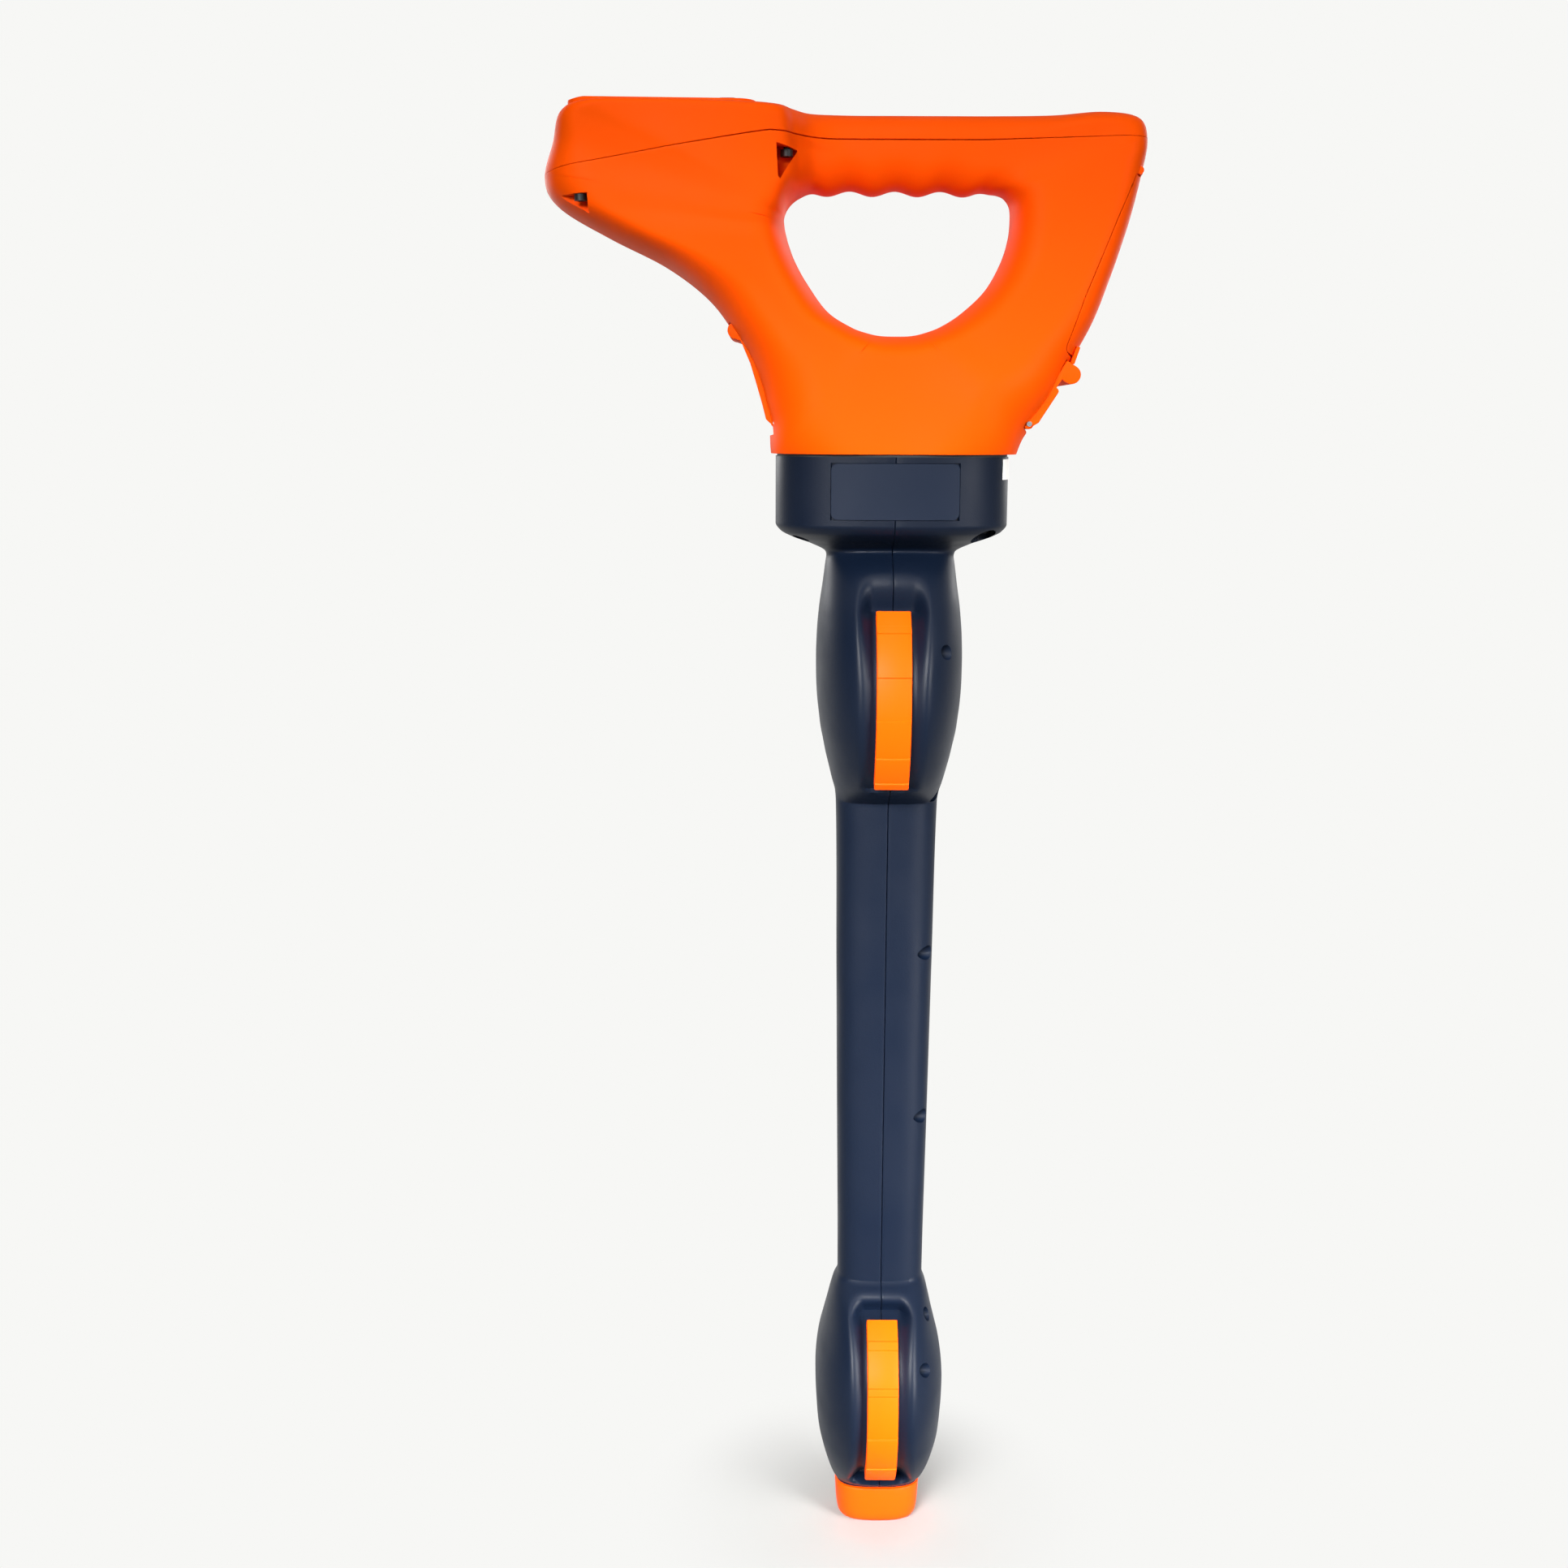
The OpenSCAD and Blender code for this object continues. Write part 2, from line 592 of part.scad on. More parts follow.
// The socket cover: eye, plate and the half-round pull tab
module socket_cover() {
  color("darkorange") on_seam() at_socket() difference() {
    union() {
      across(socket_half) polygon([[-2.3, 0], [-3.9, 2.6], [-3.6, 10], [-3.5, 20], [-3.5, 29], [-4.2, 35],
        [-5, cover_len - 8], [-6, cover_len - 3], [-6.8, cover_len], [-3.6, cover_len], [-2.8, cover_len - 3],
        [-1.8, cover_len - 8], [-0.6, 33], [0.2, 24], [0.2, 0]]);
      bar(0, 0, eye_r, socket_half);
      bar(-5.4, cover_len - 2.7, tab_r, socket_half);
    }
    bar(0, 0, pin_r + run_fit, 2 * socket_half);
  }
}
module socket_cover_pin() {
  color("silver") on_seam() at_socket() bar(0, 0, pin_r, socket_half + 3);
}
module headset_socket() {
  color("black") on_seam() at_socket() translate([0.8, 0, 22]) difference() {
    translate([jack_len / 2 + 1, 0, 0]) cube([jack_len + 2, jack_body, jack_body], center = true);
    translate([-1, 0, 0]) rotate([0, 90, 0]) cylinder(r = jack_r, h = jack_len + 1);
  }
}

// How far a head screw reaches above its seat
function screw_up(s) = s[0] < -100 ? 21 : 13;
module head_screws() {
  color("black") on_seam() for (s = HEAD_SCREWS) translate([s[0], s[1], s[2] - 3]) difference() {
    union() {
      cylinder(r = screw_head, h = 3);
      cylinder(r = head_screw_r, h = screw_up(s) + 3);
    }
    translate([0, 0, -1]) cylinder(r = screw_head / 2, h = 2.6, $fn = 6);
  }
}
module collar_screws() {
  color("black") for (s = COLLAR_SCREWS) translate([s[0], s[1], s[2]]) difference() {
    union() {
      cylinder(r = collar_head, h = 4);
      cylinder(r = collar_r, h = seam_z + collar_grip - s[2]);
    }
    translate([0, 0, -1]) cylinder(r = collar_head / 1.8, h = 3, $fn = 6);
  }
}
module collar_gasket() {
  color("black") translate([0, 0, seam_z - gasket_t]) linear_extrude(gasket_t) difference() {
    oval(drum_a - 0.6, drum_b - 0.6);
    oval(spigot_a + drop_gap, spigot_b + drop_gap);
    for (s = COLLAR_SCREWS) translate([s[0], s[1]]) circle(r = collar_r + 0.35);
  }
}

// Point of a superellipse with half widths a and b and squareness n
function super(a, b, n, t) =
  [a * sign(cos(t)) * pow(abs(cos(t)), 2 / n), b * sign(sin(t)) * pow(abs(sin(t)), 2 / n)];
// Squareness of the tube and the collar, and of the pods
firm_n = 3;
pod_n = 2.8;
module oval(a, b) {
  polygon([for (t = [0:7.5:359]) super(a, b, firm_n, t)]);
}
// Half widths along X of the wand's foot end, lower pod, tube, upper pod and neck
end_a = 21.5;
neck_a = 31;
neck_z = drum_low - 0.168 * neck_rise;
// Wand stations from the foot to the neck: height and half width along X
WAND = concat(
  [for (s = [[1, 0], [0.903, 2.3], [0.741, 5.3], [0.581, 7.8], [0.421, 9.7], [0.259, 10.5], [0.069, 11.1]])
    [low_z - s[0] * low_rise, end_a + s[1]]],
  [for (s = [[0.06, 11.2], [0.148, 11], [0.25, 10.5], [0.36, 9.6], [0.481, 8], [0.648, 5.8],
    [0.815, 3.8], [0.92, 2.4], [1, 0.9], [1.07, 0.15], [1.25, 0.2]])
    [low_z + s[0] * low_r, end_a + s[1]]],
  [for (t = [0.3, 0.65]) [mix(low_z + 1.25 * low_r, up_z - 0.93 * up_r, t), end_a + mix(0.2, 3.3, t)]],
  [for (s = [[0.93, 3.3], [0.83, 3.8], [0.72, 5.5], [0.61, 7.1], [0.5, 8.7], [0.39, 10],
    [0.28, 11.3], [0.17, 12.1], [0.03, 13]])
    [up_z - s[0] * up_r, end_a + s[1]]],
  [for (s = [[0.1, 4], [0.22, 4.1], [0.345, 3.8], [0.5, 2.8], [0.65, 1.1], [0.77, -0.1],
    [0.81, -0.5], [0.832, 0]])
    [up_z + s[0] * neck_rise, neck_a + s[1]]]);
// Stations of the cone and the drum above it
COLLAR = concat(
  [for (s = [[0.3, 0.305], [0.52, 0.653], [0.74, 0.898]])
    [mix(neck_z, drum_low, s[0]), mix(neck_a, drum_a, s[1])]],
  [[drum_low, drum_a], [seam_z - gasket_t, drum_a]]);

// Half width along Y: the tube, swollen by the two pods, and the collar above the neck
function disc(z, zc, r) = sqrt(max(0, r * r - (z - zc) * (z - zc)));
function tube_at(z) = mix(foot_b, tube_b, max(0, min(1, (z - foot_z) / (up_z - foot_z))));
// A pod bulges by r, and ends at its own distance above and below its middle
function pod(z, zc, r, above, below) = r * sqrt(max(0, 1 - pow((z - zc) / (z > zc ? above : below), 2)));
function pods(z) =
  max(pod(z, up_z, up_r, 1.2 * up_r, 0.9 * up_r), pod(z, low_z, low_r, 1.06 * low_r, 1.06 * low_r));
function wand_b(z, a) =
  let (b = pow(pow(tube_at(z), 3) + pow(pods(z), 3), 1 / 3))
  z < neck_z + 0.5 ? b : mix(b, drum_b, min(1, (a - neck_a) / (drum_a - neck_a)));
// Squareness: a little softer in the pods than along the tube and the collar
function wand_n(z) = mix(firm_n, pod_n, min(1, pods(z) / 50));
// Inside half width along Y: the tube, and round the antennas a wall behind the floors of the channels
function inside_b(z) =
  max(tube_at(z), disc(z, up_z, up_r - channel_d), disc(z, low_z, low_r - channel_d)) - wall;
half_n = 11;
// Half of a superellipse from one parting face to the other
function half_arc(a, b, n, z, sx) =
  [for (k = [0:half_n]) let (p = super(a, b, n, -90 + 180 * k / half_n)) [sx * (p[0] + seam_gap / 2), p[1], z]];
function turned(list) = [for (k = [len(list) - 1:-1:0]) list[k]];
// Loop of one half shell at height z: outside from one parting face to the other, then back inside
function half_loop(z, a, sx) =
  let (b = wand_b(z, a), n = wand_n(z), top = z > neck_z + 1)
  let (ai = top ? min(spigot_a - 4, a - wall) : a - wall, bi = top ? min(spigot_b - 4, b - wall) : inside_b(z))
  concat(half_arc(a, b, n, z, sx), turned(half_arc(ai, bi, n, z, sx)));
module half_shell(sx) {
  st = concat(WAND, COLLAR);
  n = len(st);
  m = 2 * half_n + 2;
  pts = [for (s = st) each half_loop(s[0], s[1], sx)];
  ends = [for (k = [0:half_n - 1], e = [0, n - 1], h = [0, 1])
    let (a = e * m + k, b = a + 1, c = e * m + m - 2 - k, d = c + 1, q = h == 0 ? [a, b, c] : [a, c, d])
    e == 0 ? q : turned(q)];
  all = concat(skin(n, m, false), ends);
  polyhedron(points = pts, faces = sx > 0 ? all : [for (f = all) turned(f)], convexity = 10);
}
// Solid half of the wand to the middle of its wall, which bosses and saddles are trimmed to
module half_core(sx) {
  st = WAND;
  n = len(st);
  m = half_n + 1;
  pts = [for (s = st) each half_arc(s[1] - wall / 2, inside_b(s[0]) + wall / 2, wand_n(s[0]), s[0], sx)];
  ends = [[for (k = [0:half_n]) k], [for (k = [half_n:-1:0]) (n - 1) * m + k]];
  all = concat(skin(n, m, false), ends);
  polyhedron(points = pts, faces = sx > 0 ? all : [for (f = all) turned(f)], convexity = 4);
}
// Half heights of the two channels
up_half = 0.71 * up_r;
low_half = 0.817 * low_r;
// Channel of a bumper: a slot across the pod's crest with a round floor
module channel(zc, r, half) {
  for (y = [-1, 1]) difference() {
    translate([-channel_half, y > 0 ? 12 : -r - 13, zc - half]) cube([2 * channel_half, r + 1, 2 * half]);
    translate([0, 0, zc]) rotate([0, 90, 0]) cylinder(r = r - channel_d, h = 4 * channel_half, center = true);
  }
}
// Screws that hold the shells together: height, and distance from the middle along Y
first_screw = low_z + 0.778 * low_r;
last_screw = up_z - 0.83 * up_r;
WAND_SCREWS = concat(
  [[low_z - 0.808 * low_rise, 0.3 * low_r], [low_z + 0.39 * low_r, 0.74 * low_r], [first_screw, 0.39 * low_r]],
  [for (t = [0.384, 0.702, 1]) let (z = mix(first_screw, last_screw, t)) [z, tube_at(z) - 5.5]],
  [[up_z + 0.407 * up_r, 0.75 * up_r]]);
seat_x = 12;
boss_r = screw_head + 1.4;
module at_wand_screws(x) {
  for (s = WAND_SCREWS, y = [-1, 1]) translate([x, y * s[1], s[0]]) rotate([0, 90, 0]) children();
}
module spigot(sx) {
  translate([0, 0, seam_z - 19]) linear_extrude(spigot_h + 19) difference() {
    intersection() {
      oval(spigot_a, spigot_b);
      translate([sx > 0 ? seam_gap / 2 : -60, -60]) square([60 - seam_gap / 2, 120]);
    }
    oval(spigot_a - spigot_t, spigot_b - spigot_t);
  }
}
// The plate on the collar lies in a recess that follows the drum
label_sunk = 1.2;
label_edge = 2.85;
label_z = drum_h - gasket_t - 2 * label_edge;
label_mid = (drum_low + seam_z - gasket_t) / 2;
module label_prism(g) {
  translate([0, 0, label_mid]) rotate([90, 0, 0]) linear_extrude(60)
    offset(r = 3 + g) square([label_x - 6, label_z - 6], center = true);
}
module drum_core(d) {
  translate([0, 0, drum_low]) linear_extrude(drum_h) oval(drum_a - d, drum_b - d);
}
module label_recess() {
  difference() {
    label_prism(drop_gap);
    drum_core(label_sunk);
  }
}
module collar_holes() {
  for (s = COLLAR_SCREWS) translate([s[0], s[1], s[2] - 22]) {
    cylinder(r = collar_head + 0.3, h = 26);
    cylinder(r = collar_r + 0.15, h = 80);
  }
}
// A half shell with its channels, the plate's recess and the collar's screw holes cut in
module cut_shell(sx) {
  difference() {
    half_shell(sx);
    channel(up_z, up_r, up_half);
    channel(low_z, low_r, low_half);
    label_recess();
    collar_holes();
  }
}
module wand_rear_shell() {
  color("midnightblue") difference() {
    union() {
      cut_shell(1);
      intersection() {
        half_core(1);
        at_wand_screws(seam_gap / 2) cylinder(r = boss_r, h = drum_a);
      }
      spigot(1);
    }
    at_wand_screws(0) {
      translate([0, 0, -1]) cylinder(r = screw_r + 0.2, h = 40);
      translate([0, 0, seat_x]) cylinder(r = screw_head + 0.4, h = 40);
    }
  }
}
// Heights and half lengths of the two antennas
up_core_z = up_z - 0.254 * up_r;
low_core_z = low_z - 0.315 * low_r;
up_core_half = inside_b(up_core_z) - core_room;
low_core_half = inside_b(low_core_z) - core_room;
coil_r = core_r + coil_t;
saddle_t = 5;
// The antenna board and its rests
board_x = -7.6;
board_low = low_core_z + 35;
board_high = up_core_z - 31;
module saddles(z, half) {
  for (y = [-1, 1]) translate([-drum_a, y * (half - saddle_t) - saddle_t / 2, z - core_r - 2])
    cube([drum_a - 1, saddle_t, 2 * core_r + 4]);
}
module wand_front_shell() {
  color("midnightblue") difference() {
    union() {
      cut_shell(-1);
      intersection() {
        half_core(-1);
        union() {
          at_wand_screws(-drum_a) cylinder(r = boss_r, h = drum_a - seam_gap / 2);
          saddles(up_core_z, up_core_half);
          saddles(low_core_z, low_core_half);
          for (t = [0.2, 0.567, 0.9]) translate([-drum_a, -5, mix(board_low, board_high, t) - 2])
            cube([drum_a + board_x, 10, 4]);
        }
      }
      spigot(-1);
    }
    at_wand_screws(-14) cylinder(r = screw_r - 0.2 + seat_fit, h = 30);
    bar(0, up_core_z, core_r + seat_fit, up_core_half + drop_gap);
    bar(0, low_core_z, core_r + seat_fit, low_core_half + drop_gap);
  }
}
module wand_screws() {
  color("black") at_wand_screws(seat_x) difference() {
    union() {
      cylinder(r = screw_head, h = 2.6);
      translate([0, 0, -22]) cylinder(r = screw_r - 0.2, h = 22.5);
    }
    translate([0, 0, 1]) cylinder(r = screw_head / 2, h = 4, $fn = 6);
  }
}
// A bumper strip: a turned pad with bevelled long edges and shallow cross grooves
module bumper(zc, r, y, half, grooves) {
  f = r - channel_d + seat_fit;
  span = asin((half - 0.6) / (f + strip_t));
  bevel = 1.2;
  color("darkorange") translate([0, 0, zc]) rotate([0, -90, 0])
    rotate([0, 0, (y > 0 ? 90 : -90) - span]) difference() {
    rotate_extrude(angle = 2 * span) polygon([[f, -strip_half], [f + strip_t - bevel, -strip_half],
      [f + strip_t, -strip_half + bevel], [f + strip_t, strip_half - bevel], [f + strip_t - bevel, strip_half],
      [f, strip_half]]);
    for (g = grooves) rotate([0, 0, span * (1 + g)]) translate([f + strip_t + 0.5, 0, 0])
      cylinder(r = 1.3, h = 4 * strip_half, center = true);
  }
}
module upper_bumper_left() {
  bumper(up_z, up_r, -1, up_half, [-0.75, -0.3, 0.25, 0.75]);
}
module upper_bumper_right() {
  bumper(up_z, up_r, 1, up_half, [-0.75, -0.25, 0.3, 0.75]);
}
module lower_bumper_left() {
  bumper(low_z, low_r, -1, low_half, [-0.7, -0.2, 0.3, 0.75]);
}
module lower_bumper_right() {
  bumper(low_z, low_r, 1, low_half, [-0.75, -0.3, 0.2, 0.7]);
}
// Foot cap stations: height, and how far the side lies in from the cap's upper edge
foot_lip = 0.5;
FOOT = [[0, 6], [0.6, 4.2], [1.8, 2.6], [3.6, 1.6], [6.4, 1], [0.46 * foot_z, 0.6], [0.77 * foot_z, 0.2],
  [foot_z - 1, 0]];
foot_n = 32;
foot_spigot = 8;
module foot_cap() {
  color("darkorange") difference() {
    union() {
      polyhedron(
        points = [for (s = FOOT, k = [0:foot_n - 1])
          let (p = super(end_a + foot_lip - s[1], foot_b + foot_lip - s[1], 2.8, 360 * k / foot_n))
            [p[0], p[1], s[0]]],
        faces = concat(skin(len(FOOT), foot_n, false),
          [[for (k = [0:foot_n - 1]) k]], [[for (k = [foot_n - 1:-1:0]) (len(FOOT) - 1) * foot_n + k]]),
        convexity = 4);
      translate([0, 0, foot_z - foot_spigot]) linear_extrude(2 * foot_spigot)
        oval(end_a - wall - 0.8, foot_b - wall - 0.8);
    }
    translate([0, 0, foot_z - 2]) linear_extrude(20) oval(end_a - wall - 3.8, foot_b - wall - 3.8);
  }
}
module label_plate() {
  color("slategray") difference() {
    intersection() {
      label_prism(0);
      drum_core(label_sunk - label_t);
    }
    drum_core(label_sunk);
  }
}
module antenna_core(z, half) {
  color("dimgray") bar(0, z, core_r, half);
}
module antenna_coil(z, half) {
  color("peru") difference() {
    bar(0, z, coil_r, half - saddle_t - 3);
    bar(0, z, core_r + seat_fit, half);
  }
}
module upper_antenna_core() {
  antenna_core(up_core_z, up_core_half);
}
module upper_antenna_coil() {
  antenna_coil(up_core_z, up_core_half);
}
module lower_antenna_core() {
  antenna_core(low_core_z, low_core_half);
}
module lower_antenna_coil() {
  antenna_coil(low_core_z, low_core_half);
}
module antenna_board() {
  color("green") translate([board_x, -strip_board / 2, board_low])
    cube([board_t, strip_board, board_high - board_low]);
}

head_housing();
top_cover();
display_window();
display_module();
main_board();
keypad_mat();
key_power();
key_mode();
key_frequency();
key_gain_up();
key_gain_down();
speaker();
battery_door();
battery_door_pin();
battery_latch();
battery_latch_pin();
battery_holder();
battery_cells();
battery_contacts();
socket_cover();
socket_cover_pin();
headset_socket();
head_screws();
collar_screws();
collar_gasket();
wand_front_shell();
wand_rear_shell();
wand_screws();
upper_bumper_left();
upper_bumper_right();
lower_bumper_left();
lower_bumper_right();
foot_cap();
label_plate();
upper_antenna_core();
upper_antenna_coil();
lower_antenna_core();
lower_antenna_coil();
antenna_board();
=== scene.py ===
# %% [markdown]
# # A cable locator, dressed on its CAD frame
#
# A cable locator is the receiver that a utility worker walks along a pavement with, to find the pipes and
# cables below. It has an orange moulded head with a D-shaped grip, and a navy wand with two antenna pods.
# The CAD part gives every piece its place and its joint. This notebook gives the pieces the soft moulded
# shapes and the finishes that the eye sees, without moving anything of the frame.

# %% Load the frame
import math

import bmesh
import bpy
import numpy as np
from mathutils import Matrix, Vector


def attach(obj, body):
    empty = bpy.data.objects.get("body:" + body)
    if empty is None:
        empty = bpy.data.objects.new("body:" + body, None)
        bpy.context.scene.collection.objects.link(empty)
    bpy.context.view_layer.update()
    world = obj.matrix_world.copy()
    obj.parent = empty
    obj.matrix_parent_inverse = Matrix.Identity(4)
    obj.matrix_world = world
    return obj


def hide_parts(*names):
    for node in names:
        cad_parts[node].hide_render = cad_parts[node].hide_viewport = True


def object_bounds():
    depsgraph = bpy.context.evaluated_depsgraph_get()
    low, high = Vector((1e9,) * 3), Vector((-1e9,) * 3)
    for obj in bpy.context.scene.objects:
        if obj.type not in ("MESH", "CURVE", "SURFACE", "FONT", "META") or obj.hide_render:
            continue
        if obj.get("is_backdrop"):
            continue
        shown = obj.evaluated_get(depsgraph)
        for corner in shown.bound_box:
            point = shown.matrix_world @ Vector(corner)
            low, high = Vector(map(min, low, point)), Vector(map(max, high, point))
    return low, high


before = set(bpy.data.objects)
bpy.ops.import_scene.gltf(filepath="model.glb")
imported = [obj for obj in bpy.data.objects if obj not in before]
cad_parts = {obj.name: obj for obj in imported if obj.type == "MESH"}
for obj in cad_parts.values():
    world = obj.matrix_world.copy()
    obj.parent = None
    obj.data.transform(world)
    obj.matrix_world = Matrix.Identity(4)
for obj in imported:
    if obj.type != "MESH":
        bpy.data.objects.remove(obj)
cad_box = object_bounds()

# %% [markdown]
# ## Small tools
#
# A surface is worked out as a grid of points in millimetres, and a grid needs only one rule for its
# faces. Every piece goes through the same function, so all of them end up in metres, at the origin,
# welded at their poles and with their faces turned outwards.

# %% Grids
MM = 0.001
COLLECTION = bpy.context.scene.collection


def grid_faces(rows, cols, close_rows=False):
    """Quads of a grid whose columns run round a closed loop; close_rows joins the last row to the first."""
    i = np.arange(rows if close_rows else rows - 1)[:, None]
    j = np.arange(cols)[None, :]
    a, b = i * cols + j, i * cols + (j + 1) % cols
    up = ((i + 1) % rows) * cols
    return np.stack([a, b, up + (j + 1) % cols, up + j], axis=-1).reshape(-1, 4).tolist()


def loft(rows, close_rows=False):
    """Points and faces of closed loops joined in order, with a flat face at each end of an open row."""
    n, m, _ = rows.shape
    faces = grid_faces(n, m, close_rows)
    if not close_rows:
        faces += [list(range(m))[::-1], list(range((n - 1) * m, n * m))]
    return rows.reshape(-1, 3), faces


def joined(*parts):
    """Several (points, faces) in one."""
    points, faces, start = [], [], 0
    for p, f in parts:
        points.append(np.asarray(p, float))
        faces += [[v + start for v in q] for q in f]
        start += len(p)
    return np.vstack(points), faces


print(len(grid_faces(4, 12)), "faces join 4 loops of 12 points")


# %% [markdown]
# A moulded piece is smooth on its faces and crisp on its edges. One mesh can show both: all faces are
# shaded smooth, and edges sharper than an angle are marked. A mould has a core where the piece has a
# pocket. Here a boolean takes the pocket out, and it is baked at once, so that the next cut meets plain
# faces.

# %% Pieces and cuts
WELD, SLIVER = 2e-6, 1e-6
CREASE = 32


def tidy_mesh(mesh, sharp=CREASE):
    """Welds poles and seams, turns the faces outwards and smooths all but the edges sharper than an angle."""
    bm = bmesh.new()
    bm.from_mesh(mesh)
    bmesh.ops.remove_doubles(bm, verts=bm.verts, dist=WELD)
    bmesh.ops.dissolve_degenerate(bm, dist=SLIVER, edges=bm.edges)
    bmesh.ops.recalc_face_normals(bm, faces=bm.faces)
    bm.to_mesh(mesh)
    bm.free()
    mesh.shade_smooth()
    mesh.set_sharp_from_angle(angle=math.radians(sharp))


def solid(name, part, sharp=CREASE):
    """A mesh object from (points in mm, faces)."""
    mesh = bpy.data.meshes.new(name)
    points, faces = part
    mesh.from_pydata((np.asarray(points) * MM).tolist(), [], faces)
    tidy_mesh(mesh, sharp)
    obj = bpy.data.objects.new(name, mesh)
    COLLECTION.objects.link(obj)
    return obj


def baked(obj):
    """Turns obj's modifiers into plain mesh."""
    done = bpy.data.meshes.new_from_object(obj.evaluated_get(bpy.context.evaluated_depsgraph_get()))
    obj.modifiers.clear()
    obj.data = done
    tidy_mesh(done)
    return obj


def cut(obj, part):
    """Takes a closed (points, faces) away from obj."""
    tool = solid("tool", part)
    mod = obj.modifiers.new("cut", "BOOLEAN")
    mod.operation, mod.solver, mod.object = "DIFFERENCE", "EXACT", tool
    baked(obj)
    bpy.data.objects.remove(tool)


def rounded(obj, width, segments=3, angle=35):
    """Breaks the sharp edges of obj with a small radius in mm, as a mould does."""
    mod = obj.modifiers.new("edge", "BEVEL")
    mod.width, mod.segments = width * MM, segments
    mod.limit_method, mod.angle_limit = "ANGLE", math.radians(angle)
    mod.harden_normals = False
    return baked(obj)


print("edges sharper than", CREASE, "degrees stay crisp")


# %% [markdown]
# Many pieces start as a flat outline with a thickness: a latch, a key, the bore for a screw. A maker
# would punch or saw them from sheet. An outline is only a list of points, so circles, arcs and round
# corners are small functions, and two more give the outline its thickness, across the object or upwards.

# %% Simple bodies
def prism(outline, half, y=0.0):
    """An outline in X and Z given a thickness along Y."""
    o = np.asarray(outline, float)
    rows = np.stack([np.insert(o, 1, y + s * half, axis=1) for s in (-1, 1)])
    return loft(rows)


def upright(outline, low, high):
    """An outline in X and Y raised from one height to another."""
    o = np.asarray(outline, float)
    return loft(np.stack([np.insert(o, 2, h, axis=1) for h in (low, high)]))


def circle(x, y, r, n=40):
    """Points of a circle: the cosine and the sine of even angles, times the radius."""
    t = np.linspace(0, 2 * np.pi, n, endpoint=False)
    return np.stack([x + r * np.cos(t), y + r * np.sin(t)], axis=1)


def arc(x, z, r, start, stop, n=20):
    """Points of an arc, angles in degrees."""
    a = np.radians(np.linspace(start, stop, n))
    return [(x + r * c, z + r * s) for c, s in zip(np.cos(a), np.sin(a))]


def round_rect(x, y, half_x, half_y, r, n=8):
    """Points of a rectangle with round corners."""
    a = np.linspace(0, np.pi / 2, n)
    rows = []
    for k, (sx, sy) in enumerate(((1, 1), (-1, 1), (-1, -1), (1, -1))):
        turn = a + k * np.pi / 2
        corner = np.array([x + sx * (half_x - r), y + sy * (half_y - r)])
        rows.append(corner + r * np.stack([np.cos(turn), np.sin(turn)], axis=1))
    return np.vstack(rows)


def ease(t):
    """Smooth step from 0 to 1: three times t squared, less two times t cubed."""
    t = np.clip(t, 0, 1)
    return t * t * (3 - 2 * t)


print(len(round_rect(0, 0, 5, 5, 1)), "points round a rectangle with round corners")


# %% [markdown]
# ## Finishes
#
# A finish is a small tree of shader nodes. Colours are written as sRGB hex values, as a paint card gives
# them, and turned to the linear values that light is reckoned in. One function adds a node with its
# settings and its links, so a finish reads as a short list.

# %% Colours and nodes
def srgb(text):
    """Linear colour of an sRGB hex value."""
    c = np.array([int(text[k:k + 2], 16) for k in (1, 3, 5)]) / 255
    lin = np.where(c <= 0.04045, c / 12.92, ((c + 0.055) / 1.055) ** 2.4)
    return (*lin.tolist(), 1.0)


def add_node(tree, kind, links=None, **values):
    """A shader node with its settings, inputs and links."""
    node = tree.nodes.new(kind)
    for key, value in values.items():
        if hasattr(node, key):
            setattr(node, key, value)
        else:
            node.inputs[key.replace("_", " ")].default_value = value
    for key, socket in (links or {}).items():
        tree.links.new(socket, node.inputs[key])
    return node


print("mid grey is", round(srgb("#808080")[0], 3), "of full light")


# %% [markdown]
# The head is moulded ABS with a spark-eroded grain, which keeps wet hands from slipping and hides
# scratches. The grain is a noise bump. A real one is about 0.2 mm wide, too fine to show in the render,
# so it is drawn two to four times as coarse. A little noise in the roughness breaks up the broad
# reflections, as on a shell that has been handled.

# %% One recipe for the finishes
HANDLED, WEAR = 40, 0.08


def plastic(name, colour, rough=0.45, grain=0.0, size=0.6, metal=0.0, shine=0.5):
    """A moulded or metal finish: colour, roughness, and a grain of that height and size in mm. With a grain
    the roughness also goes up and down by WEAR, in patches HANDLED mm wide."""
    mat = bpy.data.materials.new(name)
    mat.use_nodes = True
    tree = mat.node_tree
    shader = tree.nodes["Principled BSDF"]
    shader.inputs["Base Color"].default_value = srgb(colour)
    shader.inputs["Roughness"].default_value = rough
    shader.inputs["Metallic"].default_value = metal
    shader.inputs["Specular IOR Level"].default_value = shine
    mat.diffuse_color = srgb(colour)
    if grain:
        spot = add_node(tree, "ShaderNodeTexCoord").outputs["Object"]
        fine = add_node(tree, "ShaderNodeTexNoise", {"Vector": spot}, Scale=1 / (size * MM), Detail=3.0)
        bump = add_node(tree, "ShaderNodeBump", {"Height": fine.outputs["Fac"]},
                        Strength=1.0, Distance=grain * MM)
        tree.links.new(bump.outputs["Normal"], shader.inputs["Normal"])
        broad = add_node(tree, "ShaderNodeTexNoise", {"Vector": spot}, Scale=1 / (HANDLED * MM), Detail=4.0)
        worn = add_node(tree, "ShaderNodeMapRange", {"Value": broad.outputs["Fac"]},
                        From_Min=0.3, From_Max=0.7, To_Min=rough - WEAR, To_Max=rough + WEAR)
        tree.links.new(worn.outputs["Result"], shader.inputs["Roughness"])
    return mat


print("patches of handling are", HANDLED, "mm wide")

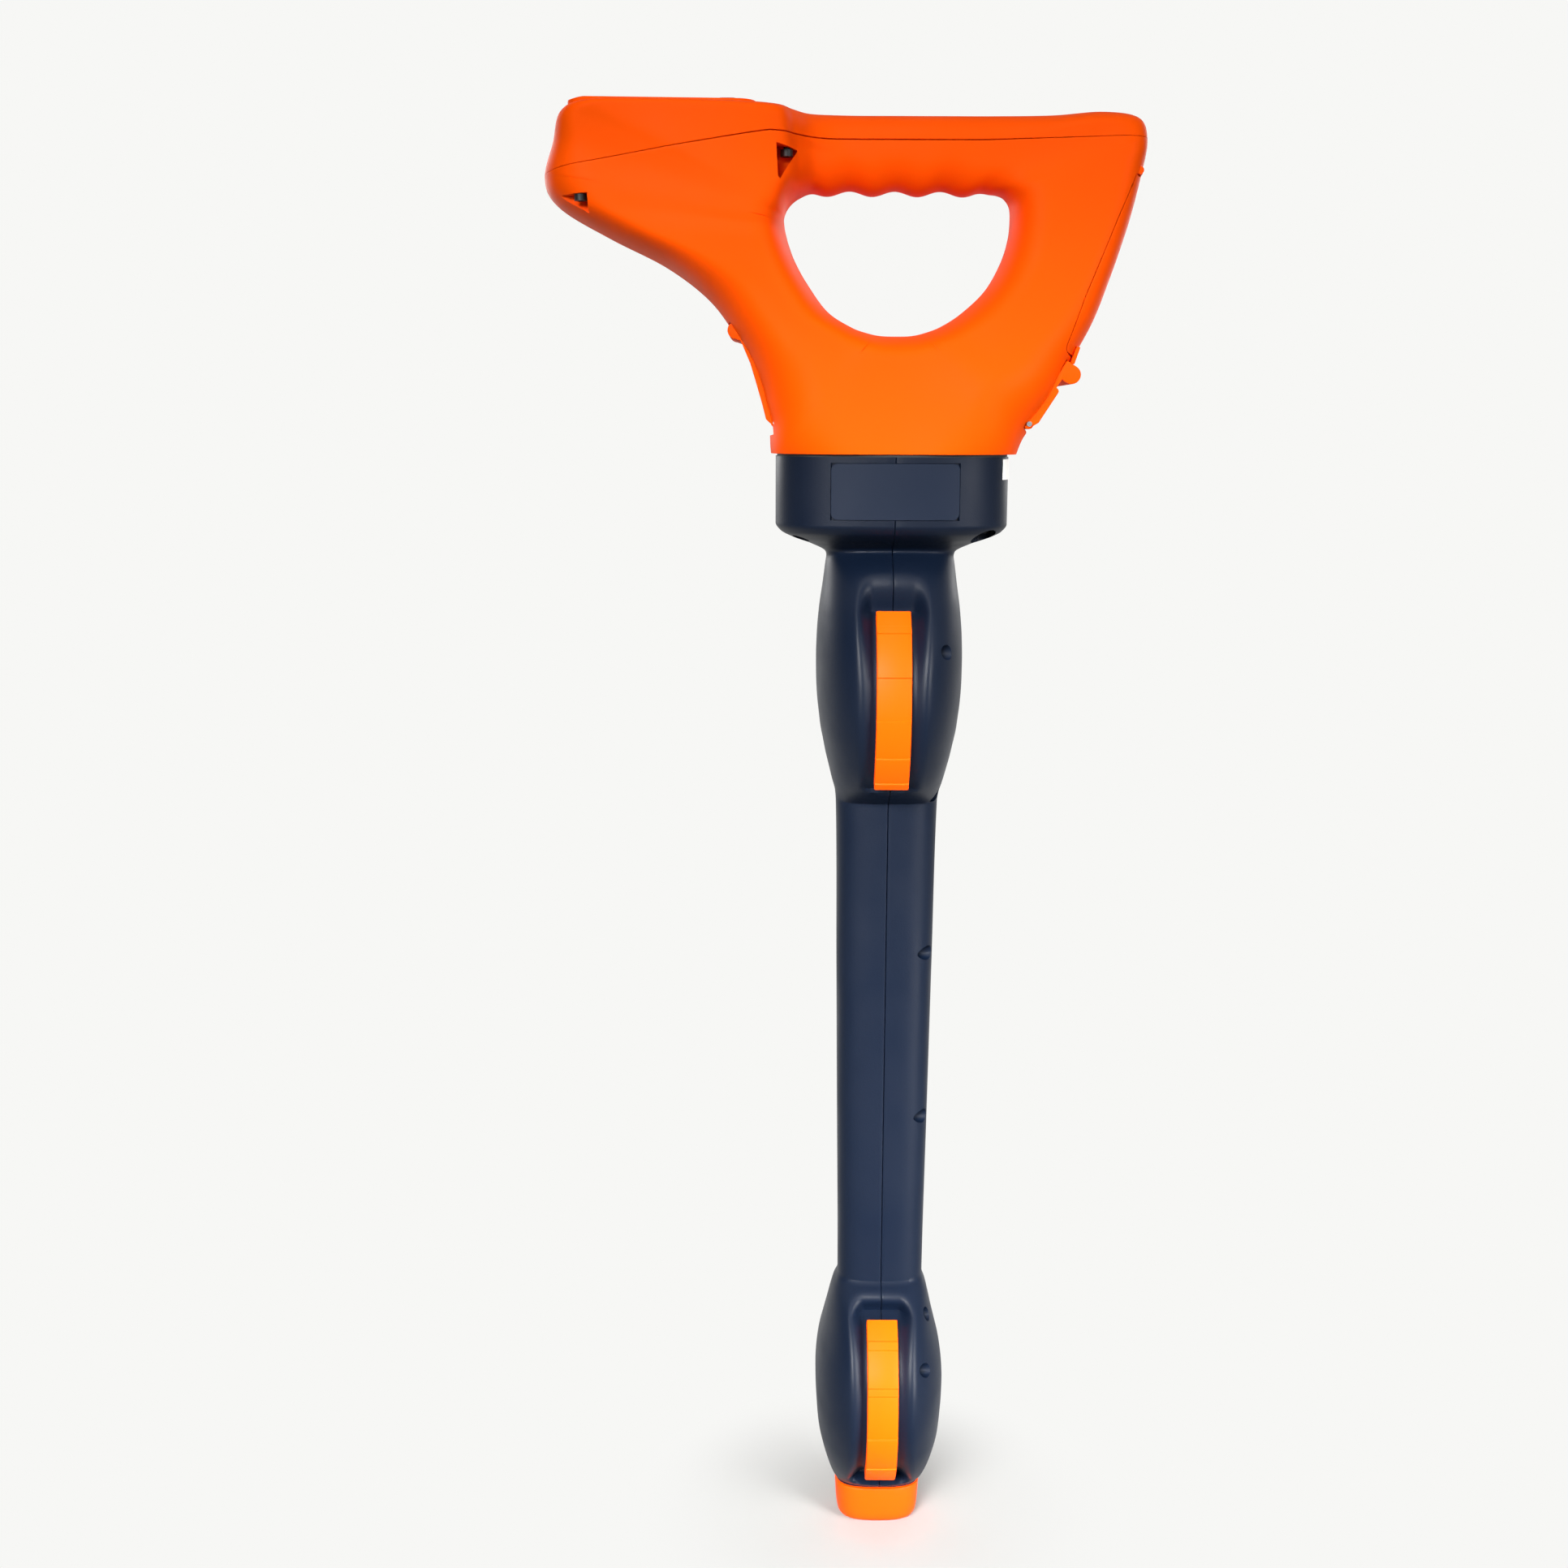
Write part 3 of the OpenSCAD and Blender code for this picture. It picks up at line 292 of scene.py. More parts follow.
# %% [markdown]
# Each finish starts from what the real piece is made of and how its surface came about. Roughness and
# metal are typical for that material, and the strength of the reflections was then matched to the
# photograph.

# %% Finishes of the outside
# Moulded ABS with a spark-eroded grain: matt, so that light spreads softly and the orange stays deep.
ORANGE = plastic("moulded_abs_orange", "#F04E00", 0.55, grain=0.03, size=0.7, shine=0.04)
# Moulded nylon is smoother: a faint sheen runs over the curve of the foot.
FOOT = plastic("moulded_nylon_orange", "#F54600", 0.45, grain=0.015, size=0.8, shine=0.1)
# Cast polyurethane: even and dull, a touch paler than the head.
BUMPER = plastic("bumper_polyurethane_orange", "#F75000", 0.5, grain=0.015, size=0.6, shine=0.06)
# Moulded ABS with a coarser grain: almost black, with broad dull highlights that draw the form.
NAVY = plastic("moulded_abs_navy", "#060F1E", 0.45, grain=0.05, size=0.8, shine=0.13)
# Polyester film with a matt face: flat, and a shade paler than the shell.
LABEL = plastic("label_polyester", "#131B2A", 0.5, grain=0.008, size=0.5, shine=0.1)
# Moulded nylon, rubber and silicone in black: a faint sheen, none, and a soft even one.
BLACK = plastic("moulded_nylon_black", "#17181A", 0.5, grain=0.01, size=0.5)
RUBBER = plastic("gasket_rubber", "#0E0E10", 0.7, grain=0.02, size=0.6)
MAT = plastic("keypad_silicone", "#2A2C30", 0.6)
# Coloured silicone: soft and dull, like an eraser.
KEYS = plastic("key_silicone_grey", "#B9BCC0", 0.5, grain=0.01, size=0.4)
POWER = plastic("key_silicone_red", "#B3261E", 0.5, grain=0.01, size=0.4)
# Drawn steel mirrors its room, and a coat of black zinc leaves only a dull glint.
STEEL = plastic("stainless_steel", "#B8BABD", 0.28, metal=1.0)
SCREWS = plastic("black_zinc_steel", "#0C0C0E", 0.5, metal=0.3)
print(len(bpy.data.materials), "materials so far")

# %% [markdown]
# What lies inside shows when a cover is open or through the window, so these pieces get their finishes
# too. They are small and mostly in the shade. Plain colour and roughness are enough.

# %% Finishes of the inside
# Lacquered board and glass panel: smooth. Sleeve: a metal glint. Ferrite: dull. Copper: warm and bright.
BOARD = plastic("circuit_board", "#1F5A32", 0.4)
SCREEN = plastic("liquid_crystal_panel", "#8E9A84", 0.3)
CELLS = plastic("battery_sleeve", "#2B3F73", 0.3, metal=0.3)
FERRITE = plastic("ferrite", "#2D2B2A", 0.6)
COPPER = plastic("enamelled_copper", "#A8592B", 0.3, metal=0.9)
# Paper is chalky. Acrylic is clear, with sharp reflections on its face.
PAPER = plastic("paper_sticker", "#ECEBE6", 0.6)
WINDOW = plastic("acrylic_window", "#DDE6EA", 0.06)
clear = WINDOW.node_tree.nodes["Principled BSDF"].inputs
clear["Transmission Weight"].default_value = 0.95
clear["IOR"].default_value = 1.49
print(len(bpy.data.materials), "materials in all")

# %% [markdown]
# Screws, pins, boards and cells are plain turned or flat bodies, and the CAD mesh already has their
# shape. They keep it and only get a finish. Every other piece is drawn anew below, and one function gives
# it its finish and its place in the frame.

# %% Finishes on the CAD meshes
NODE_FINISH = {
    "head_screws": (SCREWS, "screws"), "collar_screws": (SCREWS, "screws"),
    "wand_screws": (SCREWS, "screws"), "display_module": (SCREEN, "screen"),
    "main_board": (BOARD, "board"), "keypad_mat": (MAT, "mat"), "speaker": (BLACK, "speaker"),
    "battery_door_pin": (STEEL, "steel"), "battery_latch_pin": (STEEL, "steel"),
    "socket_cover_pin": (STEEL, "steel"), "battery_holder": (BLACK, "black_plastic"),
    "battery_cells": (CELLS, "cells"), "battery_contacts": (STEEL, "steel"),
    "headset_socket": (BLACK, "black_plastic"),
    "upper_antenna_core": (FERRITE, "ferrite"), "lower_antenna_core": (FERRITE, "ferrite"),
    "upper_antenna_coil": (COPPER, "winding"), "lower_antenna_coil": (COPPER, "winding"),
    "antenna_board": (BOARD, "board"),
}
for name, (finish, slot) in NODE_FINISH.items():
    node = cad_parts[name]
    node.data.materials.clear()
    node.data.materials.append(finish)
print(len(NODE_FINISH), "CAD nodes keep their own mesh")


def place(obj, body, finish, slot, *nodes):
    """Gives a finished piece its material and its body, and hides the CAD nodes it stands for."""
    obj.data.materials.clear()
    obj.data.materials.append(finish)
    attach(obj, body)
    if nodes:
        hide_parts(*nodes)
    print(obj.name, len(obj.data.polygons), "faces")


# %% [markdown]
# ## The head
#
# The head is one closed ring round the hand opening: the grip bar, the display pod, and two legs that run
# down to the collar. A mould maker would draw it as sections along the ring, and so does this table. Each
# station lies in a plane from the opening to the outside. It has a half width and an edge radius at both
# ends, and a squareness. A Catmull-Rom curve runs through all of them.

# %% Sections of the head
SEAM_Z = 552.5
# X and Z at the opening, X and Z outside, half width at both, edge radius at both, squareness.
HEAD = np.array([
    [54, 108, 109.2, 108.7, 24, 22, 15, 15, 2.4],
    [53.4, 113.5, 113.4, 127, 23, 21, 15, 15, 2.4],
    [51, 117, 115.6, 142, 22, 20, 15, 14, 2.4],
    [48, 118.4, 111.5, 152.2, 20, 18, 15, 14, 2.4],
    [44, 118.8, 95, 155, 18.5, 18, 16, 16, 2.3],
    [38, 118.8, 72, 153.4, 18, 18, 17, 17, 2.3],
    [26, 118.8, 45, 153, 18, 18, 17, 17, 2.3],
    [13, 118.8, 22, 153, 18, 18, 17, 17, 2.3],
    [0, 118.8, 0, 153, 18, 18, 17, 17, 2.3],
    [-13, 118.8, -18, 153, 18, 18, 17, 17, 2.3],
    [-26, 118.8, -30, 153.2, 18.5, 18.5, 17, 17, 2.3],
    [-36, 118.8, -40, 153.4, 22, 23, 17, 15, 2.4],
    [-43, 118, -48, 153.8, 31, 33, 16, 10, 3],
    [-47, 116.5, -55.5, 154.2, 41, 43, 14, 7, 3.4],
    [-49.5, 114, -75, 154.6, 46, 47, 13, 6.5, 3.6],
    [-50.8, 111.5, -108, 154.5, 47, 48, 14, 6.5, 4],
    [-51.4, 109, -138.5, 154.3, 47.5, 48, 15, 9, 4],
    [-51.5, 107, -152.2, 150.4, 47.5, 46, 15, 14, 3.5],
    [-51.4, 105, -156.8, 138, 47.5, 44, 16, 20, 3],
    [-51, 102, -161.4, 123, 47.5, 44, 16, 26, 2.6],
    [-50.3, 99, -156.2, 112, 47, 44, 16, 28, 2.4],
    [-49, 94.5, -134, 99.2, 47, 45, 16, 26, 2.4],
    [-46, 87, -107, 85.8, 46, 45, 16, 24, 2.4],
    [-40.5, 77.5, -86.5, 70.5, 45, 44, 16, 22, 2.4],
    [-31, 65, -73.5, 53.3, 44, 43.5, 15, 20, 2.3],
    [-20, 58, -65, 37.5, 43, 43.5, 13, 22, 2.3],
    [-12, 55.3, -58.6, 14, 42, 43.5, 12, 32, 2.2],
    [-6, 54.2, -50.8, -11, 42, 43.5, 12, 36, 2.2],
    [1.3, 54, 0, -37, 41, 43.5, 12, 24, 2.3],
    [8, 54.3, 49, -14, 40, 43.5, 12, 36, 2.2],
    [14, 55.6, 62.4, 8, 39, 43, 12, 32, 2.2],
    [22, 58.6, 73.6, 24, 37, 40, 13, 26, 2.3],
    [32, 65, 83, 42, 35, 35, 15, 22, 2.3],
    [43, 75.5, 93, 61, 31, 30, 16, 18, 2.4],
    [50, 88, 100.5, 81, 27, 26, 16, 16, 2.4],
    [53.3, 99, 105.3, 95.5, 25, 23.5, 15, 15, 2.4],
])


print(len(HEAD), "sections round a hand opening of", np.ptp(HEAD[:, 0]), "by", np.ptp(HEAD[:, 1]), "mm")


# %% [markdown]
# The curve through the sections passes every one of them, so a measured section stays as it was measured.
# The waves that hold the fingers are added under the grip only. They fade out at both ends of it.

# %% Curve through the sections
GRIP_HALF, GRIP_LOW = 44, 116
WAVE_PITCH, WAVE_HIGH = 21, 1.2


def head_rows(u):
    """Catmull-Rom curve through the stations; u counts stations. Finger waves are added under the grip."""
    i, t = np.floor(u).astype(int), (u - np.floor(u))[:, None]
    a, b, c, d = (HEAD[(i + k) % len(HEAD)] for k in (-1, 0, 1, 2))
    s = 0.5 * (2 * b + (c - a) * t + (2 * a - 5 * b + 4 * c - d) * t**2 + (3 * b - a - 3 * c + d) * t**3)
    fade = np.clip((GRIP_HALF - np.abs(s[:, 0])) / 8, 0, 1) * np.clip((s[:, 1] - GRIP_LOW) / 1.5, 0, 1)
    s[:, 1] += WAVE_HIGH * fade * np.cos(2 * np.pi * s[:, 0] / WAVE_PITCH)
    return s


def length(s):
    """Distance from the opening to the outside along a station."""
    return math.hypot(s[2] - s[0], s[3] - s[1])


def half_width(s, d):
    """Half width at the distance d from the opening: a superellipse at both ends, straight between."""
    l = length(s)
    ri, ro, n = min(s[6], 0.49 * l), min(s[7], 0.49 * l), s[8]
    near = np.clip(1 - d / ri, 0, 1)
    far = np.clip(1 - (l - d) / ro, 0, 1)
    w = s[4] + (s[5] - s[4]) * np.clip((d - ri) / (l - ri - ro), 0, 1)
    return w * (1 - near**n) ** (1 / n) * (1 - far**n) ** (1 / n)


def along(s, d):
    """X and Z at the distance d from the opening, heights counted from the collar's seam."""
    f = d / length(s)
    return s[0] + (s[2] - s[0]) * f, s[1] + (s[3] - s[1]) * f


print("the grip is", round(length(HEAD[8]), 1), "mm thick")


# %% [markdown]
# A moulding never ends in a knife edge. Where it is parted, its edge has a radius of some tenths of a
# millimetre that catches a thin line of light. So a section that is cut gets that radius and a flat face.
# The points are spaced evenly along the outline, because even cells shade without streaks.

# %% Half a section
EDGE = 0.25
DENSE = (1 - np.cos(np.linspace(0, np.pi, 400))) / 2


def half_section(s, d0, d1, split=None, sides=54, cap=12):
    """Half of a section between the distances d0 and d1, spaced evenly along its outline.
    A cut end gets a small edge radius and a flat face to the middle. An uncut end keeps the same number of
    points: they lie past the distance split, or all at the tip."""
    l = length(s)
    d = DENSE * l
    w = half_width(s, d)
    run = np.concatenate([[0], np.cumsum(np.hypot(np.diff(d), np.diff(w)))])
    lo, hi = np.interp([d0, d1], d, run)
    r0, r1 = EDGE * (d0 > 1e-6), EDGE * (d1 < l - 1e-6)

    def on(t):
        return np.stack([np.interp(t, run, d), np.interp(t, run, w)], axis=1)

    def end(corner, first, r):
        last = corner - [0, min(r, corner[1])]
        k = np.linspace(0, 1, 5)[1:, None]
        bend = (1 - k) ** 2 * first + 2 * k * (1 - k) * corner + k**2 * last
        flat = last * np.array([1, 0]) + last[None] * np.array([0, 1]) * np.linspace(1, 0, cap)[1:, None]
        return np.vstack([bend, flat])

    if r1:
        side = on(np.linspace(lo + r0, hi - r1, sides))
        tail = end(on([hi])[0], side[-1], r1)
    else:
        stop = hi if split is None else np.interp(split, d, run)
        side = on(np.linspace(lo + r0, stop, sides))
        tail = on(np.linspace(stop, hi, cap + 4)[1:])
    head = end(on([lo])[0], side[0], r0)[::-1] if r0 else np.empty((0, 2))
    return np.vstack([head, side, tail])


def ring_loop(s, half):
    """Both sides of a half section as one closed loop in space."""
    x, z = along(s, half[:, 0])
    near = np.stack([x, -half[:, 1], z + SEAM_Z], axis=1)
    far = near[-2:0:-1] * [1, -1, 1]
    return np.vstack([near, far])


print(len(half_section(HEAD[8], 0.0, length(HEAD[8]))), "points to half a section")


# %% [markdown]
# The ring is parted as the real one is. The top cover is all that lies above a seam that runs level along
# the grip and falls towards the nose. The battery door is the back edge of the rear leg. Both lines
# depend on X and Z only, so each cuts a section at one distance from the opening. The sections of each
# piece simply stop there, with a small radius, and the radius makes the thin dark line that shows a real
# seam.

# %% Hinges and gaps
GAP = 0.5
DOOR_PIN, DOOR_LEAN = np.array([111, 128]), math.radians(18.6)
LATCH_PIN, LATCH_LEAN = np.array([62.1, 14]), math.radians(32.6)
SOCKET_PIN, SOCKET_LEAN = np.array([-55.0, 14.3]), math.radians(-17)
LATCH_TOP, LATCH_HALF, SOCKET_HALF = 33.4, 24.0, 18.0


def out_of(pin, lean, points):
    """From a hinge's own frame to X and Z in the object, in mm."""
    p = np.asarray(points, float)
    x = pin[0] + p[:, 0] * math.cos(lean) + p[:, 1] * math.sin(lean)
    z = pin[1] - p[:, 0] * math.sin(lean) + p[:, 1] * math.cos(lean)
    return np.stack([x, z + SEAM_Z], axis=1)


tip = LATCH_PIN + LATCH_TOP * np.array([math.sin(LATCH_LEAN), math.cos(LATCH_LEAN)]) - DOOR_PIN
LIP_LOW = -tip[0] * math.sin(DOOR_LEAN) - tip[1] * math.cos(DOOR_LEAN)
DOOR_LEN = LIP_LOW - 3
# Inner face of the door: height along the door from its pin, and depth there.
DOOR_IN = np.array([
    [-DOOR_LEN, -3], [0.4 - DOOR_LEN, -4.4], [1.3 - DOOR_LEN, -5.4], [3.5 - DOOR_LEN, -5.9], [-74, -5.6],
    [-62.6, -5.4], [-49, -4.44], [-33.7, -3.3], [-23.6, -2.7], [-15, -1.9], [-8, -1.4], [0, -1]])
print("the door is", round(DOOR_LEN, 1), "mm long, and gaps are", GAP, "mm wide")


# %% [markdown]
# A seam is easiest to hold as a function that is zero on it. Each section is walked from the opening
# outwards, and the place where the function changes its sign is the cut. The same walk round the ring
# finds the places at which a seam leaves it.

# %% Where the pieces part
def door_at(x, z):
    """How far a point lies behind the door's inner face, and its height along the door."""
    dx, dz = x - DOOR_PIN[0], z - DOOR_PIN[1]
    up = dx * math.sin(DOOR_LEAN) + dz * math.cos(DOOR_LEAN)
    out = dx * math.cos(DOOR_LEAN) - dz * math.sin(DOOR_LEAN)
    return out - np.interp(up, DOOR_IN[:, 0], DOOR_IN[:, 1]), up


def seam_at(x):
    """Height of the top cover's seam above the collar's seam."""
    return np.interp(x, [-175, -58, 40, 100], [121.1, 140.5, 140.5, 142.5])


def crossing(values, d):
    """First distance at which values rise above zero, or the last distance."""
    over = np.argmax(values > 0)
    if values[over] <= 0:
        return d[-1]
    if over == 0:
        return d[0]
    a, b = values[over - 1], values[over]
    return d[over - 1] + (d[over] - d[over - 1]) * a / (a - b)


def cuts(s):
    """Distances at which the cover's seam, the door and the collar's seam cut a section."""
    d = np.linspace(0, length(s), 400)
    x, z = along(s, d)
    return crossing(z - seam_at(x), d), crossing(door_at(x, z)[0], d), crossing(-z, d)


def meets(u, values):
    """Places round the ring at which values change sign."""
    k = np.nonzero(values[:-1] * values[1:] < 0)[0]
    return u[k] + (u[k + 1] - u[k]) * values[k] / (values[k] - values[k + 1])


print("the cover's seam lies", seam_at(0.0), "mm above the collar's")


# %% [markdown]
# Both pieces at a seam are drawn from the same rows of sections, so their edges run side by side. Where a
# seam leaves the ring, a piece runs out to a point, and the rows lie closer there to keep the point
# clean.

# %% Rows shared by the pieces
RING = (-5, 31)
STEP = 0.1
fine = np.linspace(*RING, 14401)
tips = head_rows(fine)
DOOR_TOP = 1.0
DOOR_LOW = float(fine[np.argmax(door_at(tips[:, 2], tips[:, 3])[1] > -DOOR_LEN)])
REAR, NOSE = meets(fine, tips[:, 3] - seam_at(tips[:, 2]))
BASE_FRONT, BASE_BACK = meets(fine, tips[:, 3])
RUN = STEP * np.linspace(0.08, 1, 11) ** 2.2
even = np.arange(*RING, STEP) + STEP / 2
closer = [REAR + RUN, NOSE - RUN, BASE_FRONT + RUN, BASE_BACK - RUN]
at_start = [[m - 0.001, m + 0.0005] for m in (REAR, BASE_FRONT)]
at_end = [[m - 0.0005, m + 0.001] for m in (NOSE, BASE_BACK)]
ROWS = np.sort(np.concatenate([even, *closer, *at_start, *at_end]))
print(len(ROWS), "rows; cover from station", round(REAR, 2), "to", round(NOSE, 2))
print("door from station", round(DOOR_LOW, 2), "to", DOOR_TOP)


# %% [markdown]
# The housing keeps what is left of every section. Where the door lies, the section stops at the door's
# inner face. A full ring could be cut with booleans instead, but a cut that runs along a curved surface
# leaves ragged edges, and these edges are what the eye follows.

# %% Ring of the housing
DOOR_GAP = 0.3


def housing_ring():
    """Closed ring of loops for the housing; near the door the points of uncut loops are led to its line."""
    beside = [DOOR_LOW - 0.03, DOOR_LOW - 0.001, DOOR_TOP + 0.001, DOOR_TOP + 0.03]
    u = np.sort(np.concatenate([ROWS, beside]))
    rows = []
    for k, s in zip(u, head_rows(u)):
        l = length(s)
        seam, door, base = cuts(s)
        end = min(seam - GAP / 2 if seam < l else l, base)
        away = max(DOOR_LOW - k, k - DOOR_TOP, 0) / 0.7
        line = min(door - DOOR_GAP, l - 1)
        split = line + (l - line) * ease(away)
        if DOOR_LOW - 0.01 < k < DOOR_TOP + 0.01:
            end = min(end, door - DOOR_GAP)
        rows.append(ring_loop(s, half_section(s, 0.0, end, split=split)))
    return loft(np.stack(rows), close_rows=True)


def from_hinge(pin, lean, outline, half, y=0.0):
    """A prism across the object from an outline in a hinge's frame."""
    return prism(out_of(pin, lean, outline), half, y)


housing = solid("head_housing_shell", housing_ring())
print("the ring has", len(housing.data.polygons), "faces before its rooms are cut")

# %% [markdown]
# Cores in the mould leave recesses for the latch, the socket cover, the battery holder and the screws.
# They are cut out here too, so that opening a cover in a pose shows what is behind it. Each outline is
# given in the frame of the hinge it belongs to: the distance out of the object, and the height along the
# cover.

# %% Rooms in the housing
PLAY, PAST = 0.4, 60
LATCH_ROOM = [(-1.6, 0), (-1.6, 33.8), (16, 33.8), (16, -3.6), (4.2, -3.6), (1.6, -2.9), (0, -2.8),
              (-1.6, -2.2)]
SOCKET_ROOM = [(0.6, 0), (0.6, 24), (0.2, 33), (-0.6, 40), (-0.6, 49.7), (-18, 49.7), (-18, -5),
               (-2, -5), (-0.2, -3.5), (0.6, -2.7)]
# Width of the battery holder, with two cells side by side, and its length with the contacts.
HOLDER = 2 * (7.6 + 7.2 + 1.8)
HOLDER_LEN = 50.2 + 5 + 10.2
BAY = [(-4.8 - HOLDER, -7.6), (-1, -7.6), (-1, -8.4 - HOLDER_LEN), (-4.8 - HOLDER, -8.4 - HOLDER_LEN)]
JACK = [(-1, 13.8), (16, 13.8), (16, 30.2), (-1, 30.2)]
LIP = [(-1.2, -LIP_LOW - 0.4), (-1.2, 7 - LIP_LOW), (6, 7 - LIP_LOW), (6, -LIP_LOW - 0.4)]
NOSE_POCKET = [(-152.5, 113.2), (-138.7, 113.9), (-138.5, 105.6)]
REAR_POCKET = [(-55, 135.4), (-45.6, 133.4), (-46.6, 131.2), (-53.2, 119.8), (-54.2, 121)]
pockets = [from_hinge((0, 0), 0, NOSE_POCKET, 13.2, side * 46.8) for side in (-1, 1)]
deep = np.array([28.5, 28.5, 28.5, 32.6, 32.2])
for side in (-1, 1):
    flat = np.insert(out_of((0, 0), 0, REAR_POCKET), 1, 0, axis=1)
    pockets.append(loft(np.stack([flat + np.outer(side * deep, [0, 1, 0]), flat + [0, side * PAST, 0]])))
cut(housing, joined(*pockets))
cut(housing, from_hinge(LATCH_PIN, LATCH_LEAN, LATCH_ROOM, LATCH_HALF + PLAY))
cut(housing, from_hinge(SOCKET_PIN, SOCKET_LEAN, SOCKET_ROOM, SOCKET_HALF + PLAY))
cut(housing, from_hinge(SOCKET_PIN, SOCKET_LEAN, JACK, 8.2))
cut(housing, from_hinge(DOOR_PIN, DOOR_LEAN, BAY, HOLDER / 2 + PLAY))
cut(housing, from_hinge(DOOR_PIN, DOOR_LEAN, LIP, LATCH_HALF - 2.6))
cut(housing, from_hinge(DOOR_PIN, DOOR_LEAN, circle(0, 0, 4.45), 9.4))
place(housing, "body", ORANGE, "orange", "head_housing")
# Two lugs of the housing carry the ends of the door's pin.
lugs = joined(*(from_hinge(DOOR_PIN, DOOR_LEAN, circle(0, 0, 1.7), 2.75, side * 12.15) for side in (-1, 1)))
place(solid("door_hinge_lugs", lugs), "body", ORANGE, "orange")


# %% [markdown]
# The top cover carries the display and the keys. It is the same ring again, from the seam outwards.
# Window and keys drop into holes that are a little wider than they are, and the thin dark line round each
# of them is what makes them read as separate pieces.

# %% Top cover
def cover_loops():
    """Open row of loops for the top cover, drawn to a point at both ends."""
    u = ROWS[(ROWS > REAR) & (ROWS < NOSE)]
    rows = []
    for s in head_rows(u):
        seam = min(cuts(s)[0] + GAP / 2, length(s) - 0.02)
        rows.append(ring_loop(s, half_section(s, seam, length(s), sides=60)))
    return loft(np.stack(rows))


WINDOW_MID, KEY_MID, KEY_PITCH, POD_TOP = -119.0, -77.0, 13, SEAM_Z + 154
cover = solid("top_cover_shell", cover_loops())
holes = [round_rect(WINDOW_MID, 0, 25, 32, 2)]
holes += [round_rect(KEY_MID, KEY_PITCH * k, 4.8, 5.3, 2.8) for k in range(-2, 3)]
cut(cover, joined(*(upright(hole, POD_TOP - 8, POD_TOP + 20) for hole in holes)))
place(cover, "body", ORANGE, "orange", "top_cover")


# %% [markdown]
# A raised rim round the display keeps knocks off the window. It is a small dome carried round the
# outline, higher towards the nose and gone at its very front. As a piece of its own it leaves the grid of
# the cover simple.

# %% Rim of the display
RIM_MID, RIM_R, RIM_HALF, RIM_DEEP = -106, 7.7, 1.3, 4.0


def rim_loops():
    """A raised rim with round corners: a dome, the sine of half a turn, is carried round the outline."""
    outline = round_rect(RIM_MID, 0, 33 + RIM_R, 30 + RIM_R, RIM_R, 14)
    tangent = np.roll(outline, -1, axis=0) - np.roll(outline, 1, axis=0)
    normal = np.stack([tangent[:, 1], -tangent[:, 0]], axis=1)
    normal /= np.linalg.norm(normal, axis=1)[:, None]
    a = np.linspace(0, np.pi, 13)
    across = np.concatenate([[RIM_HALF], RIM_HALF * np.cos(a), [-RIM_HALF]])
    dome = np.concatenate([[0.0], np.sin(a) ** 0.7, [0.0]])
    foot = np.concatenate([[-RIM_DEEP], np.zeros(len(a)), [-RIM_DEEP]])
    crest = 0.7 + 0.6 * ease((-105 - outline[:, 0]) / 25) - 0.7 * ease((-140 - outline[:, 0]) / 6)
    pts = outline[:, None, :] + normal[:, None, :] * across[None, :, None]
    z = POD_TOP + foot + dome * crest[:, None]
    return loft(np.concatenate([pts, z[..., None]], axis=2), close_rows=True)


place(solid("display_rim", rim_loops(), 50), "body", ORANGE, "orange")


# %% [markdown]
# ## Battery door, latch and socket cover
#
# The door is the back edge of the rear leg, hinged on a pin at its top. It is the outer end of the
# sections that the housing left, so both sides of its seam follow one line. A pocket in its inner face
# clears the cells, and a lip at its foot lies under the latch.

# %% Battery door
EYE = 2.35


def door_loops():
    """Row of loops for the battery door, between its hinge and its lower edge."""
    u = np.linspace(DOOR_LOW + 0.012, DOOR_TOP - 0.02, 110)
    rows = [ring_loop(s, half_section(s, cuts(s)[1], length(s), sides=40)) for s in head_rows(u)]
    return loft(np.stack(rows))


DOOR_POCKET = [(-20, -7), (-1, -7), (-0.8, -19), (0, -28), (0.84, -40), (0.1, -69), (-1.2, 10 - LIP_LOW),
               (-20, 10 - LIP_LOW)]
door = solid("battery_door_shell", door_loops())
cut(door, from_hinge(DOOR_PIN, DOOR_LEAN, DOOR_POCKET, HOLDER / 2 + 2 * PLAY))
cut(door, joined(*(from_hinge(DOOR_PIN, DOOR_LEAN, circle(0, 0, 2.75), 20, side * 29) for side in (-1, 1))))
place(door, "battery_door", ORANGE, "orange", "battery_door")
lip = [(-0.8, -LIP_LOW), (-0.8, 8 - LIP_LOW), (1, 8 - LIP_LOW), (1, -LIP_LOW)]
ear = joined(from_hinge(DOOR_PIN, DOOR_LEAN, lip, LATCH_HALF - 3),
             from_hinge(DOOR_PIN, DOOR_LEAN, circle(0, 0, EYE), 9))
place(rounded(solid("battery_door_lip", ear), 0.3), "battery_door", ORANGE, "orange")

# %% [markdown]
# Below the door a latch plate with a D-shaped bar turns on its own pin. In front, a cover with a pull tab
# closes the headset socket. Both were moulded with one section all across, so each is an outline with a
# thickness, and a small bevel takes the edges off.

# %% Latch and socket cover
BAR_R = 4.2
latch_outline = ([(-1.2, LATCH_TOP), (-1.2, 0)] + arc(0, 0, EYE, 180, 360) + [(2.3, 0.4), (3.6, 3)]
                 + arc(2.1, 19, 1.5, 0, 90, 8) + [(1.6, 20.5), (1.6, LATCH_TOP - 8.4)]
                 + arc(BAR_R, LATCH_TOP - BAR_R, BAR_R, -90, 90))
latch = solid("battery_latch_plate", from_hinge(LATCH_PIN, LATCH_LEAN, latch_outline, LATCH_HALF))
place(rounded(latch, 0.4), "battery_latch", ORANGE, "orange", "battery_latch")

